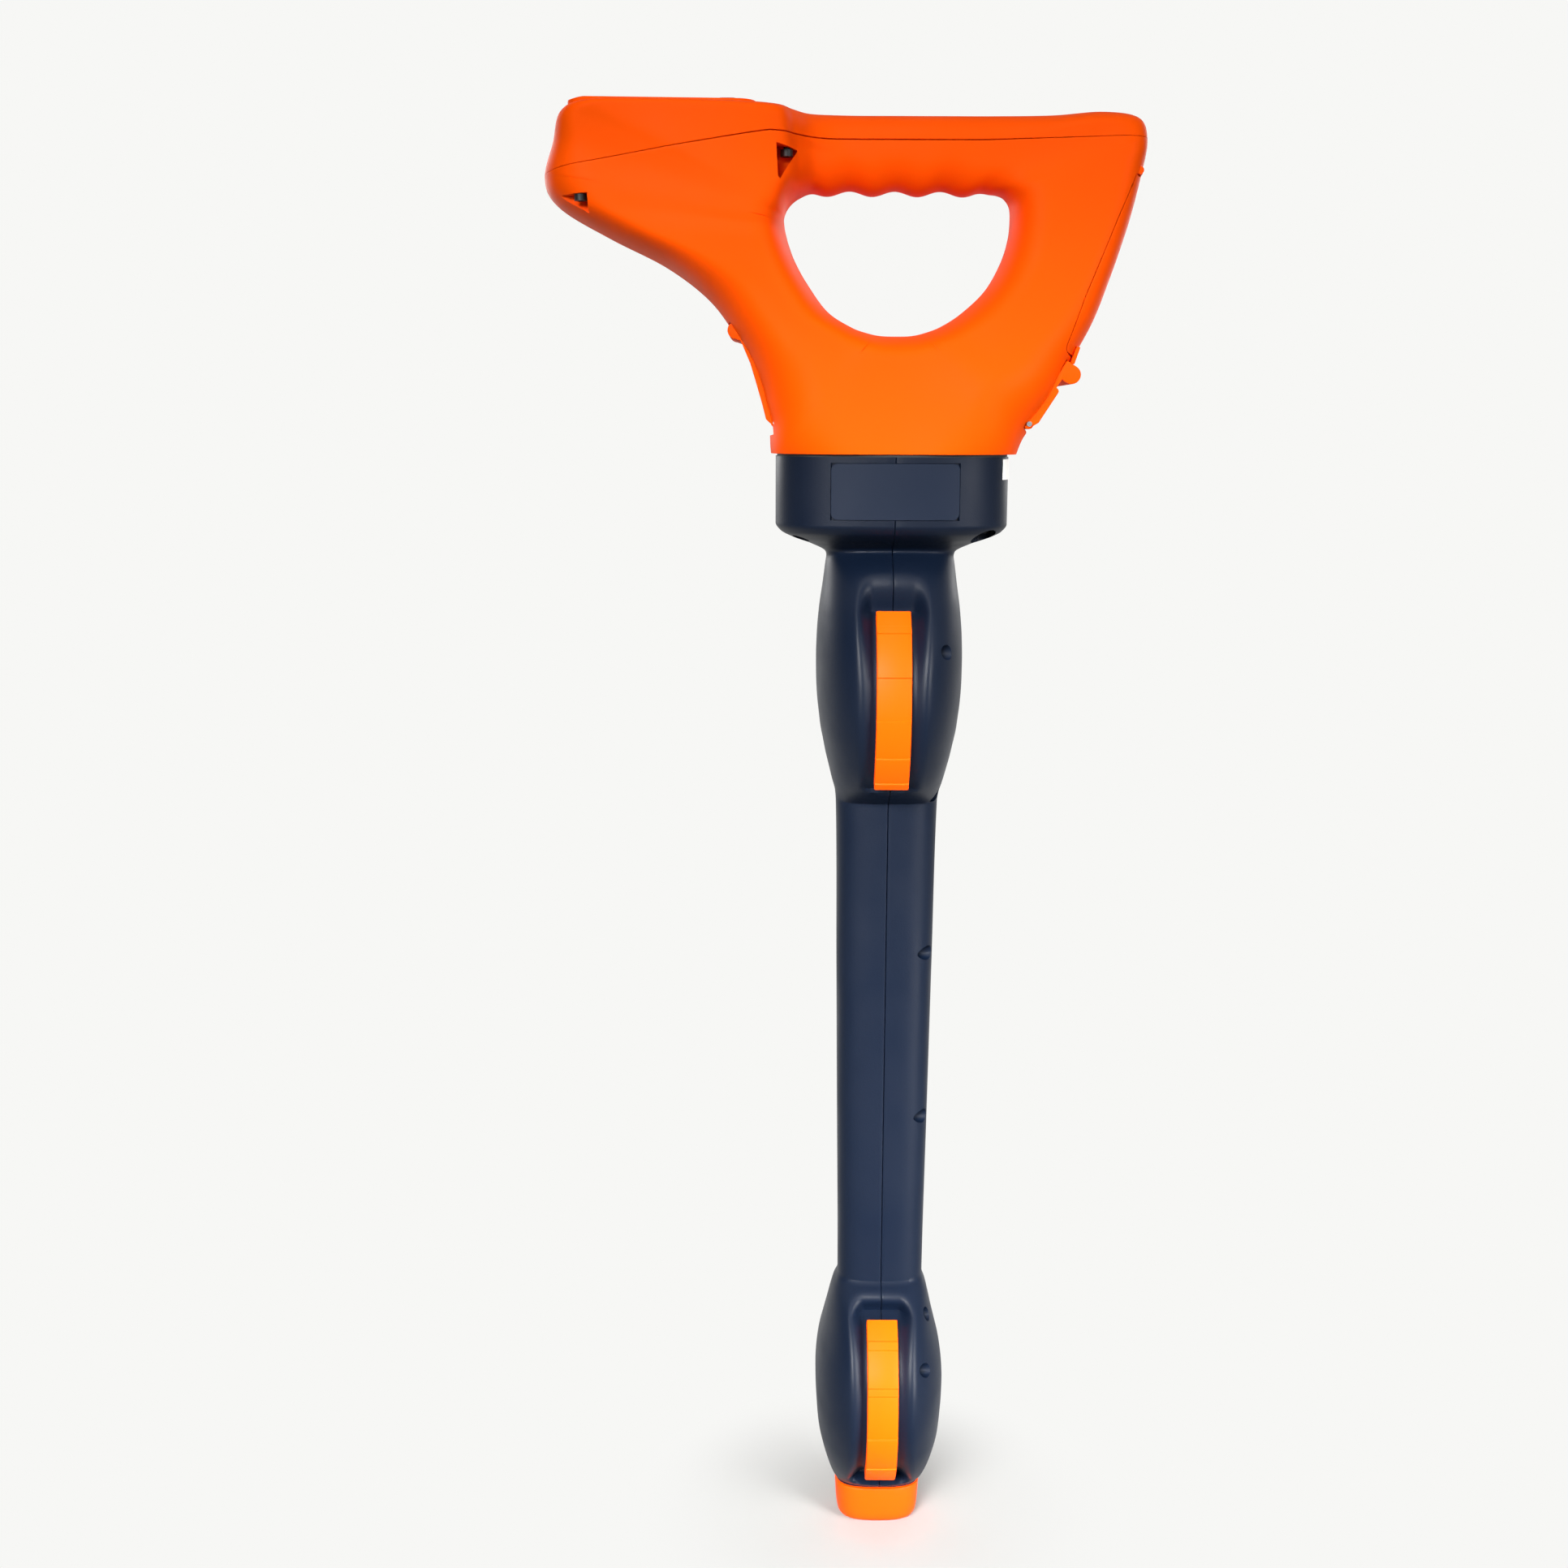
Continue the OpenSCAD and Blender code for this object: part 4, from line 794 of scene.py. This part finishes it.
socket_outline = ([(0.2, 24), (0.2, 0)] + arc(0, 0, EYE, 0, -180)[1:]
                  + [(-3.9, 2.6), (-3.6, 10), (-3.5, 20), (-3.5, 29), (-4.2, 35), (-4.7, 40)]
                  + arc(-5.4, 45.3, 4, 250, 44) + [(-2.6, 45), (-1.8, 40), (-0.6, 33)])
socket_cover = solid("socket_cover_flap", from_hinge(SOCKET_PIN, SOCKET_LEAN, socket_outline, SOCKET_HALF))
place(rounded(socket_cover, 0.4), "socket_cover", ORANGE, "orange", "socket_cover")

# %% [markdown]
# ## The wand
#
# The wand is two half shells, screwed together from the back. Seen from the side it is a slim tube with
# two swellings. Seen from the front each swelling is a pod, because it holds an antenna that lies across
# the wand. These are the heights and half widths in millimetres that were measured for it.

# %% Sizes of the wand
FOOT_Z, LOW_Z, UP_Z, NECK_Z, DRUM_LOW = 22.0, 80.0, 438.5, 506.308, 520.0
LOW_R, UP_R, DRUM_A, DRUM_B, NECK_A, END_A = 54.0, 59.0, 55.0, 42.0, 31.0, 21.5
FOOT_B, TUBE_B, LOW_HALF, UP_HALF = 15.5, 19.0, 44.1, 41.9
TOP_Z = SEAM_Z - 1.2
# Half width along X at a few heights.
SIDE = np.array([
    [22, 21.5], [27.6, 23.8], [37, 26.8], [46.3, 29.3], [55.6, 31.2], [65, 32], [76, 32.6], [83.2, 32.7],
    [88, 32.5], [93.5, 32], [99.4, 31.1], [106, 29.5], [115, 27.3], [124, 25.3], [129.7, 23.9], [134, 22.4],
    [137.8, 21.65], [147.5, 21.7], [218.3, 22.63], [301, 23.71], [383.6, 24.8], [389.5, 25.3], [396, 27],
    [402.5, 28.6], [409, 30.2], [415.5, 31.5], [422, 32.8], [428.5, 33.6], [436.7, 34.5], [446.6, 35],
    [456.4, 35.1], [466.6, 34.8], [479.2, 33.8], [491.5, 32.1], [501.3, 30.9], [504.5, 30.5], [506.308, 31],
    [510.42, 38.32], [513.43, 46.67], [516.44, 52.55], [520, 55], [551.3, 55]])
print("the wand reaches from", FOOT_Z, "to", TOP_Z, "mm, with pods at", LOW_Z, "and", UP_Z)


# %% [markdown]
# The half width along X is a curve through those heights. A spline could swing past them and give the
# tube waves, so this one is monotone: it stays between its neighbours. The half width along Y is a blend
# of the tube and the pods, which rounds the corner where they meet as a mould maker would.

# %% Curves of the wand
def curve(table, z):
    """Monotone cubic curve through a table of heights and values: the slope at a point is the harmonic
    mean of the slopes beside it, or zero where they differ in sign."""
    x, y = table[:, 0], table[:, 1]
    h, s = np.diff(x), np.diff(y) / np.diff(x)
    m = np.zeros(len(x))
    same = s[:-1] * s[1:] > 0
    w1, w2 = 2 * h[1:] + h[:-1], h[1:] + 2 * h[:-1]
    safe = np.where(same, s[:-1] * s[1:], 1)
    mean = w1 * np.where(same, s[1:], 1) + w2 * np.where(same, s[:-1], 1)
    m[1:-1] = np.where(same, (w1 + w2) * safe / mean, 0)
    m[0], m[-1] = s[0], s[-1]
    i = np.clip(np.searchsorted(x, z) - 1, 0, len(h) - 1)
    t = (z - x[i]) / h[i]
    return ((1 + 2 * t) * (1 - t) ** 2 * y[i] + t * (1 - t) ** 2 * h[i] * m[i]
            + t**2 * (3 - 2 * t) * y[i + 1] + t**2 * (t - 1) * h[i] * m[i + 1])


def pod(z, zc, r, above, below):
    """Half width of a pod at the height z: half an ellipse above its middle and half an ellipse below."""
    reach = np.where(z > zc, above, below)
    return r * np.sqrt(np.maximum(1 - ((z - zc) / reach) ** 2, 0))


def wand_size(z):
    """Half widths along X and Y and the squareness at the heights z. The width along Y is the cube root of
    the sum of the cubes of tube and pods, led over to the drum above the neck."""
    a = curve(SIDE, z)
    tube = FOOT_B + (TUBE_B - FOOT_B) * np.clip((z - FOOT_Z) / (UP_Z - FOOT_Z), 0, 1)
    pods = np.maximum(pod(z, UP_Z, UP_R, 1.2 * UP_R, 0.9 * UP_R),
                      pod(z, LOW_Z, LOW_R, 1.06 * LOW_R, 1.06 * LOW_R))
    b = (tube**3 + pods**3) ** (1 / 3)
    b = np.where(z < NECK_Z, b, b + (DRUM_B - b) * np.clip((a - NECK_A) / (DRUM_A - NECK_A), 0, 1))
    return a, b, 3 - 0.6 * np.minimum(1, pods / 50)


print("half width across the upper pod", wand_size(np.array([UP_Z]))[1].round(1)[0], "mm")


# %% [markdown]
# An orange strip in a channel guards the rim of each pod. The channel could be cut out with a boolean,
# but its edges would be sharp. Here its floor is sunk into the grid of the shell itself, so that the
# edges roll over softly. The two halves then meet at a flat face with a small edge radius, which draws
# the parting line.

# %% Channels and halves
# Middle, radius and half length of a channel, its half width, and how far its ends ease out above and below.
CHANNELS = ((UP_Z, UP_R, UP_HALF, 9.0, 28.0, 11.0), (LOW_Z, LOW_R, LOW_HALF, 8.6, 15.0, 5.0))
CHANNEL_DEEP, CHANNEL_SIDE = 5, 9


def channelled(x, y, z):
    """Half width along Y with the bumper channels sunk in: a round floor that rises smoothly to a ridge on
    each side and to a shoulder at each end."""
    for zc, r, half, wide, above, below in CHANNELS:
        dz = np.abs(z - zc)
        floor = np.sqrt((r - CHANNEL_DEEP) ** 2 - np.minimum(dz, half) ** 2)
        beside = 1 - ease((np.abs(x) - wide) / CHANNEL_SIDE)
        sunk = beside * (1 - ease((dz - half) / np.where(z > zc, above, below)))
        y = y - np.maximum(y - floor, 0) * sunk
    return y


def wand_half(sx):
    """Row of loops for one half shell: the curved outside, a small edge radius, and the flat parting face."""
    z = np.unique(np.concatenate([
        np.linspace(FOOT_Z, 500, 440), np.linspace(500, 524, 61), np.linspace(524, TOP_Z, 20)]))
    a, b, n = (v[:, None] for v in wand_size(z))
    t = np.linspace(-np.pi / 2, np.pi / 2, 141)[None, :]
    x = a * np.maximum(np.cos(t), 0) ** (2 / n)
    y = b * np.abs(np.sin(t)) ** (2 / n)
    y = channelled(x, y, z[:, None]) * np.sign(np.sin(t))
    x = np.maximum(x, 0.5)
    edge = np.array([0.3, 0.15, 0.1])
    drop = np.array([0.08, 0.25, 0.5])
    first = np.stack([np.broadcast_to(edge[::-1], (len(z), 3)), y[:, :1] + drop[::-1]], axis=-1)
    last = np.stack([np.broadcast_to(edge, (len(z), 3)), y[:, -1:] - drop], axis=-1)
    flat_y = np.linspace(1, -1, 14)[None, 1:-1] * (y[:, -1:] - 0.7)
    flat = np.stack([np.full_like(flat_y, 0.1), flat_y], axis=-1)
    loop = np.concatenate([first, np.stack([x, y], axis=-1), last, flat], axis=1)
    loop[..., 0] *= sx
    zz = np.broadcast_to(z[:, None, None], loop.shape[:2] + (1,))
    return loft(np.concatenate([loop, zz], axis=-1))


front = solid("wand_front_half", wand_half(-1))
rear = solid("wand_rear_half", wand_half(1))
print("each half has", len(front.data.polygons), "faces before its holes are cut")

# %% [markdown]
# Screws from the back pull the halves together, and each of them sits at the foot of a deep round hole.
# Two more holes in the cone above the neck lead to the screws of the head. The plate on the drum lies in
# a shallow room, so that its edge can't be peeled off.

# %% Holes and rooms of the wand
# Height of each pair of screws, and its distance from the middle.
WAND_SCREWS = [(33.1, 16.2), (101.1, 40.0), (122.0, 21.1), (224.7, 11.7), (309.8, 12.4), (389.5, 13.1),
               (462.5, 44.2)]
SCREW_R, SCREW_SEAT = 3.6, 11.9
COLLAR_X, COLLAR_Y = 42.9, 17.3


def screw_bores():
    """Round holes from the back, one on each side at every screw."""
    parts = []
    for z, y in WAND_SCREWS:
        for side in (-1, 1):
            ring = np.insert(circle(side * y, z, SCREW_R, 32), 0, 0, axis=1)
            parts.append(loft(np.stack([ring + [SCREW_SEAT, 0, 0], ring + [PAST, 0, 0]])))
    return joined(*parts)


def collar_bores(sx):
    """Holes in the cone for the screws that hold the head."""
    slots = [round_rect(sx * COLLAR_X, y, 3.9, 6.2, 3.85) for y in (-COLLAR_Y, COLLAR_Y)]
    return joined(*(upright(slot, 494, 519.9) for slot in slots))


def drum_wrap(a0, a1, inner, outer, z0, z1):
    """A slab that follows the drum between two angles, from one depth to another."""
    t = np.linspace(a0, a1, 81)
    c, s = np.cos(t), np.sin(t)
    p = np.stack([np.sign(c) * np.abs(c) ** (2 / 3), np.sign(s) * np.abs(s) ** (2 / 3)], axis=1)
    ring = np.vstack([p * [DRUM_A + inner, DRUM_B + inner], (p * [DRUM_A + outer, DRUM_B + outer])[::-1]])
    return upright(ring, z0, z1)


def hollow():
    """An ellipse in X and Z, tilted along the cone below the drum."""
    long, short, along_x, along_z = 6.2, 2.6, 0.92, 0.39
    t = np.linspace(0, 2 * np.pi, 36, endpoint=False)
    x = 42.3 + long * along_x * np.cos(t) - short * along_z * np.sin(t)
    z = 514.6 + long * along_z * np.cos(t) + short * along_x * np.sin(t)
    return np.stack([x, z], axis=1)


LABEL_MID = (DRUM_LOW + TOP_Z) / 2
turn = math.acos((29.7 / DRUM_A) ** 1.5)
LABEL_ROOM = drum_wrap(-math.pi + turn, -turn, -1.2, 4, LABEL_MID - 13, LABEL_MID + 13)
cut(front, collar_bores(-1))
cut(front, LABEL_ROOM)
place(front, "body", NAVY, "navy", "wand_front_shell")
cut(rear, screw_bores())
cut(rear, collar_bores(1))
cut(rear, joined(*(prism(hollow(), 15, side * 31) for side in (-1, 1))))
cut(rear, LABEL_ROOM)
place(rear, "body", NAVY, "navy", "wand_rear_shell")


# %% [markdown]
# The strips are cast in a tough orange plastic and take the knocks when the wand is laid down. Small
# steps cross each strip. A step that faces up catches the light, and a step that faces down draws a dark
# line, so each is given as a place along the arc and a height that is gained or lost there.

# %% Strips
STRIP_BACK, STRIP_THICK = 4.95, 5.55


def strip(side, zc, r, half, wide, steps, more):
    """A turned pad: its section is carried round an arc, and shallow steps cross its face. At its upper end
    the arc runs on by the length more."""
    low = r - STRIP_BACK
    span = math.asin((half - 0.6) / (low + 6))
    t = np.linspace(-span, span + more / r, 601)
    face = low + STRIP_THICK + sum(h * ease((t / span - k) / 0.01 + 0.5) for k, h in steps)
    e = 0.8
    x = np.array([-wide, -wide, -wide + 0.3 * e, -wide + e, wide - e, wide - 0.3 * e, wide, wide])
    k = np.array([0, 1, 1, 1, 1, 1, 1, 0])
    inset = np.array([0, e, 0.3 * e, 0, 0, 0.3 * e, e, 0])
    rad = low + k * (face[:, None] - low) - inset
    y, z = side * rad * np.cos(t)[:, None], zc + rad * np.sin(t)[:, None]
    return loft(np.stack([np.broadcast_to(x, y.shape), y, z], axis=-1))


UP_STEPS = ((0.88, -0.7), (0.79, 0.6), (0.31, 0.7), (-0.14, -0.7), (-0.57, -0.5), (-0.91, -0.5))
LOW_STEPS = ((0.81, -0.7), (0.72, 0.6), (0.35, 0.6), (0.27, 0.5), (-0.2, -0.7), (-0.65, -0.6))
STRIPS = {"upper": (UP_Z, UP_R, UP_HALF, 8.1, UP_STEPS, 3.4),
          "lower": (LOW_Z, LOW_R, LOW_HALF, 7.7, LOW_STEPS, 1.8)}
for pod_name, sizes in STRIPS.items():
    for hand, side in (("left", -1), ("right", 1)):
        name = f"{pod_name}_bumper_{hand}"
        pad = solid(name + "_pad", strip(side, *sizes), 25)
        place(pad, "body", BUMPER, "bumper", name)


# %% [markdown]
# The foot stands on stones and wet ground, so it is a cap of its own in tough nylon. The gasket keeps
# water out between the head and the drum, and shows only as a black line. Both are superellipses stacked
# in height: the power between 2 and 3 gives the shape between an ellipse and a rectangle that the wand
# has.

# %% Foot and gasket
def ovals(stations, n=2.8, m=128):
    """Row of superellipses, each given as height and half widths."""
    t = np.linspace(0, 2 * np.pi, m, endpoint=False)
    c = np.sign(np.cos(t)) * np.abs(np.cos(t)) ** (2 / n)
    s = np.sign(np.sin(t)) * np.abs(np.sin(t)) ** (2 / n)
    return loft(np.stack([np.stack([a * c, b * s, np.full(m, z)], axis=1) for z, a, b in stations]))


# Height, and how far the foot draws in there.
FOOT_SIDE = np.array([[0, 6], [0.15, 5.2], [0.6, 4.2], [1.8, 2.6], [3.6, 1.6], [6.4, 1], [10.12, 0.6],
                      [16.94, 0.2], [20.5, 0.02], [20.85, 0.15], [21, 0.5]])
foot = solid("foot_cap_shell", ovals([(z, END_A + 0.5 - d, FOOT_B + 0.5 - d) for z, d in FOOT_SIDE]), 60)
place(foot, "body", FOOT, "orange", "foot_cap")
GASKET = (DRUM_A - 0.6, DRUM_B - 0.6)
gasket = solid("collar_gasket_ring", ovals([(TOP_Z, *GASKET), (SEAM_Z, *GASKET)], 3.0))
place(gasket, "body", RUBBER, "gasket", "collar_gasket")


# %% [markdown]
# The plate is a bare film on the near side of the drum, and it bends with the drum. A flat card would
# stand off at its ends. So its outline is drawn flat first, filled with smaller and smaller copies of
# itself, and every point is then moved out to the curve of the drum.

# %% Plate and sticker
def plate(half_x, z0, z1, r, lift):
    """A thin plate with round corners that follows the near side of the drum."""
    mid = np.array([0, (z0 + z1) / 2])
    outline = round_rect(0, mid[1], half_x, (z1 - z0) / 2, r, 10)
    edges = zip(outline, np.roll(outline, -1, axis=0))
    dense = np.vstack([np.linspace(p, q, 8, endpoint=False) for p, q in edges])

    def on_drum(k, d):
        p = mid + (dense - mid) * k
        y = (DRUM_B + d) * (1 - np.clip(np.abs(p[:, 0]) / (DRUM_A + d), 0, 1) ** 3) ** (1 / 3)
        return np.stack([p[:, 0], -y, p[:, 1]], axis=1)

    back = [on_drum(k, -1.15) for k in np.linspace(0, 1, 20)]
    side = [on_drum(1.0, lift - 0.15), on_drum(0.994, lift)]
    face = [on_drum(k, lift) for k in np.linspace(0.99, 0, 26)]
    return loft(np.stack(back + side + face))


bare = plate(29.5, LABEL_MID - 12.8, LABEL_MID + 12.8, 3.0, 0.3)
place(solid("label_plate_bare", bare), "body", LABEL, "label", "label_plate")
sticker = drum_wrap(-math.asin((25.5 / DRUM_B) ** 1.5), 0.25, 0.0, 0.3, 541, 550.4)
place(solid("blank_sticker", sticker), "body", PAPER, "label")

# %% [markdown]
# The window is a pane of clear acrylic, set just below the face of the pod. The keys are silicone caps
# with soft edges. Each key is a piece on a body of its own, so that a pose can press it, and the bevel
# rounds its rim far more than the edges of the hard parts.

# %% Window and keys
pane = upright(round_rect(WINDOW_MID, 0, 24.8, 31.8, 2), POD_TOP - 2.5, POD_TOP - 0.3)
window = solid("display_window_pane", pane)
place(rounded(window, 0.4), "body", WINDOW, "window", "display_window")
for k, name in enumerate(("key_power", "key_mode", "key_frequency", "key_gain_up", "key_gain_down")):
    outline = round_rect(KEY_MID, KEY_PITCH * (k - 2), 4.5, 5, 2.5)
    cap = solid(name + "_cap", upright(outline, POD_TOP - 8.5, POD_TOP + 2.2))
    finish, slot = (POWER, "power_key") if k == 0 else (KEYS, "keys")
    place(rounded(cap, 0.9, 4), name, finish, slot, name)

# %% [markdown]
# ## Light, floor and camera
#
# A product is lit with softboxes. The key stands in front, high and a little to the left, and a second one
# on the right fills the shade. Both have a grid, which is a small spread here, and are aimed low, so that
# the dark wand gets more light than the head. A small one above draws the top edges, a low one stands in
# for the light that a floor throws back, and two behind the object light its far side.

# %% Lights
def area(name, where, to, size, power, spread):
    """A soft square light aimed at a point; a smaller spread is a softbox with a grid."""
    light = bpy.data.lights.new(name, "AREA")
    light.shape, light.size, light.energy, light.spread = "SQUARE", size, power, math.radians(spread)
    obj = bpy.data.objects.new(name, light)
    COLLECTION.objects.link(obj)
    obj.location = where
    obj.rotation_euler = (obj.location - Vector(to)).to_track_quat("Z", "Y").to_euler()


# Place and aim in metres, size in metres, power in watts, spread in degrees.
LIGHTS = {
    "softbox_key": ((-0.4, -1.15, 0.78), (0, 0, 0.14), 0.6, 5.4, 45),
    "softbox_fill": ((0.9, -0.9, 0.6), (0, 0, 0.1), 0.6, 3.6, 50),
    "softbox_top": ((0.0, -0.5, 1.6), (0, 0, 0.5), 0.4, 3.4, 180),
    "softbox_low": ((0.5, -0.5, 0.15), (0, 0, 0.11), 0.25, 0.4, 40),
    "softbox_back_-1": ((-0.9, 1.4, 0.9), (0, 0, 0.4), 0.8, 9, 180),
    "softbox_back_1": ((0.9, 1.4, 0.9), (0, 0, 0.4), 0.8, 9, 180),
}
for name, setting in LIGHTS.items():
    area(name, *setting)
print(len(LIGHTS), "softboxes with", round(sum(setting[3] for setting in LIGHTS.values()), 1), "W")


# %% [markdown]
# The floor shows a soft shadow near the foot and then fades into a pale backdrop, so that no horizon is
# seen. The fade is a mix of the lit floor with an even glow. Only rays that show the backdrop get the
# glow: straight ones, mirrored ones and those through the window. The rest see a plain grey floor, so that
# the glow doesn't light the object from below.

# %% Floor
PALE = srgb("#F7F7F5")
FLOOR_R, FLOOR_POINTS = 6.0, 96


def seen_rays(tree):
    """1 for a ray that shows the backdrop: straight, mirrored or through the window."""
    ray = add_node(tree, "ShaderNodeLightPath").outputs
    bent = add_node(tree, "ShaderNodeMath", {0: ray["Is Glossy Ray"], 1: ray["Is Transmission Ray"]},
                    operation="MAXIMUM")
    any_ray = add_node(tree, "ShaderNodeMath", {0: ray["Is Camera Ray"], 1: bent.outputs[0]},
                       operation="MAXIMUM")
    return any_ray.outputs[0]


floor_mesh = bpy.data.meshes.new("floor")
ring = circle(0, 0, FLOOR_R, FLOOR_POINTS)
floor_mesh.from_pydata([(x, y, 0.0) for x, y in ring.tolist()], [], [list(range(FLOOR_POINTS))])
floor = bpy.data.objects.new("floor", floor_mesh)
COLLECTION.objects.link(floor)
pale_floor = plastic("pale_floor", "#9A9A98", 0.9, shine=0.1)
tree = pale_floor.node_tree
spot = add_node(tree, "ShaderNodeTexCoord")
far = add_node(tree, "ShaderNodeVectorMath", {0: spot.outputs["Object"]}, operation="LENGTH")
fade = add_node(tree, "ShaderNodeMapRange", {"Value": far.outputs["Value"]},
                interpolation_type="SMOOTHSTEP", From_Min=0.01, From_Max=0.13)
shown = add_node(tree, "ShaderNodeMath", {0: fade.outputs["Result"], 1: seen_rays(tree)},
                 operation="MULTIPLY")
glow = add_node(tree, "ShaderNodeEmission", Color=PALE, Strength=1.0)
lit = tree.nodes["Principled BSDF"].outputs[0]
blend = add_node(tree, "ShaderNodeMixShader", {0: shown.outputs["Value"], 1: lit, 2: glow.outputs[0]})
tree.links.new(blend.outputs[0], tree.nodes["Material Output"].inputs["Surface"])
floor.data.materials.append(pale_floor)
floor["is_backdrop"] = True
print("floor", 2 * FLOOR_R, "m across")

# %% [markdown]
# The world is the rest of the room. It gives a weak even light. The camera sees it as the pale backdrop,
# and mirrored rays see it behind the object and overhead only: the room behind a camera is dark, and that
# is what keeps the navy shell from looking grey.

# %% World
world = bpy.data.worlds.new("studio")
bpy.context.scene.world = world
world.use_nodes = True
tree = world.node_tree
soft = tree.nodes["Background"]
soft.inputs["Color"].default_value = srgb("#FFFFFF")
soft.inputs["Strength"].default_value = 0.11
seen = add_node(tree, "ShaderNodeBackground", Color=PALE, Strength=1.0)
spot = add_node(tree, "ShaderNodeTexCoord").outputs["Generated"]
where = add_node(tree, "ShaderNodeSeparateXYZ", {"Vector": spot})
behind = add_node(tree, "ShaderNodeMapRange", {"Value": where.outputs["Y"]},
                  From_Min=-0.2, From_Max=0.4, To_Max=0.5)
overhead = add_node(tree, "ShaderNodeMapRange", {"Value": where.outputs["Z"]}, From_Min=0.25, From_Max=0.75)
drop = add_node(tree, "ShaderNodeMath", {0: behind.outputs["Result"], 1: overhead.outputs["Result"]},
                operation="MAXIMUM")
bent = add_node(tree, "ShaderNodeMath", {0: seen_rays(tree), 1: drop.outputs[0]}, operation="MULTIPLY")
direct = add_node(tree, "ShaderNodeLightPath").outputs["Is Camera Ray"]
shown = add_node(tree, "ShaderNodeMath", {0: bent.outputs[0], 1: direct}, operation="MAXIMUM")
mixed = add_node(tree, "ShaderNodeMixShader", {0: shown.outputs[0], 1: soft.outputs[0], 2: seen.outputs[0]})
tree.links.new(mixed.outputs[0], tree.nodes["World Output"].inputs["Surface"])
print("world light", round(soft.inputs["Strength"].default_value, 2))

# %% [markdown]
# The camera stands where the photograph was taken from, a little above the grip. Its angle of view comes
# from the focal length that was fitted to the photograph, counted in pixels, and half the width of the
# picture.

# %% Camera
HALF_PICTURE, FOCAL = 966, 2300
camera_data = bpy.data.cameras.new("camera")
camera_data.sensor_fit = "HORIZONTAL"
camera_data.angle = 2 * math.atan(HALF_PICTURE / FOCAL)
camera_data.clip_start = 0.01
camera = bpy.data.objects.new("camera", camera_data)
COLLECTION.objects.link(camera)
camera.location = (-0.0504, -0.9036, 0.5632)
camera.rotation_mode = "ZYX"
camera.rotation_euler = (math.radians(79.27), 0, math.radians(0.24))
bpy.context.scene.camera = camera
bpy.context.scene.view_settings.view_transform = "Standard"
print("the camera sees", round(math.degrees(camera_data.angle), 1), "degrees across")

# %% [markdown]
# New surfaces should stay within the size of the CAD part, because others will build with that size. So
# the box round all pieces is measured once more, and both boxes are printed.

# %% Measure the size once more
now_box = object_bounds()
for label, corners in (("CAD box", cad_box), ("now", now_box)):
    print(label, [[round(v, 4) for v in p] for p in corners])
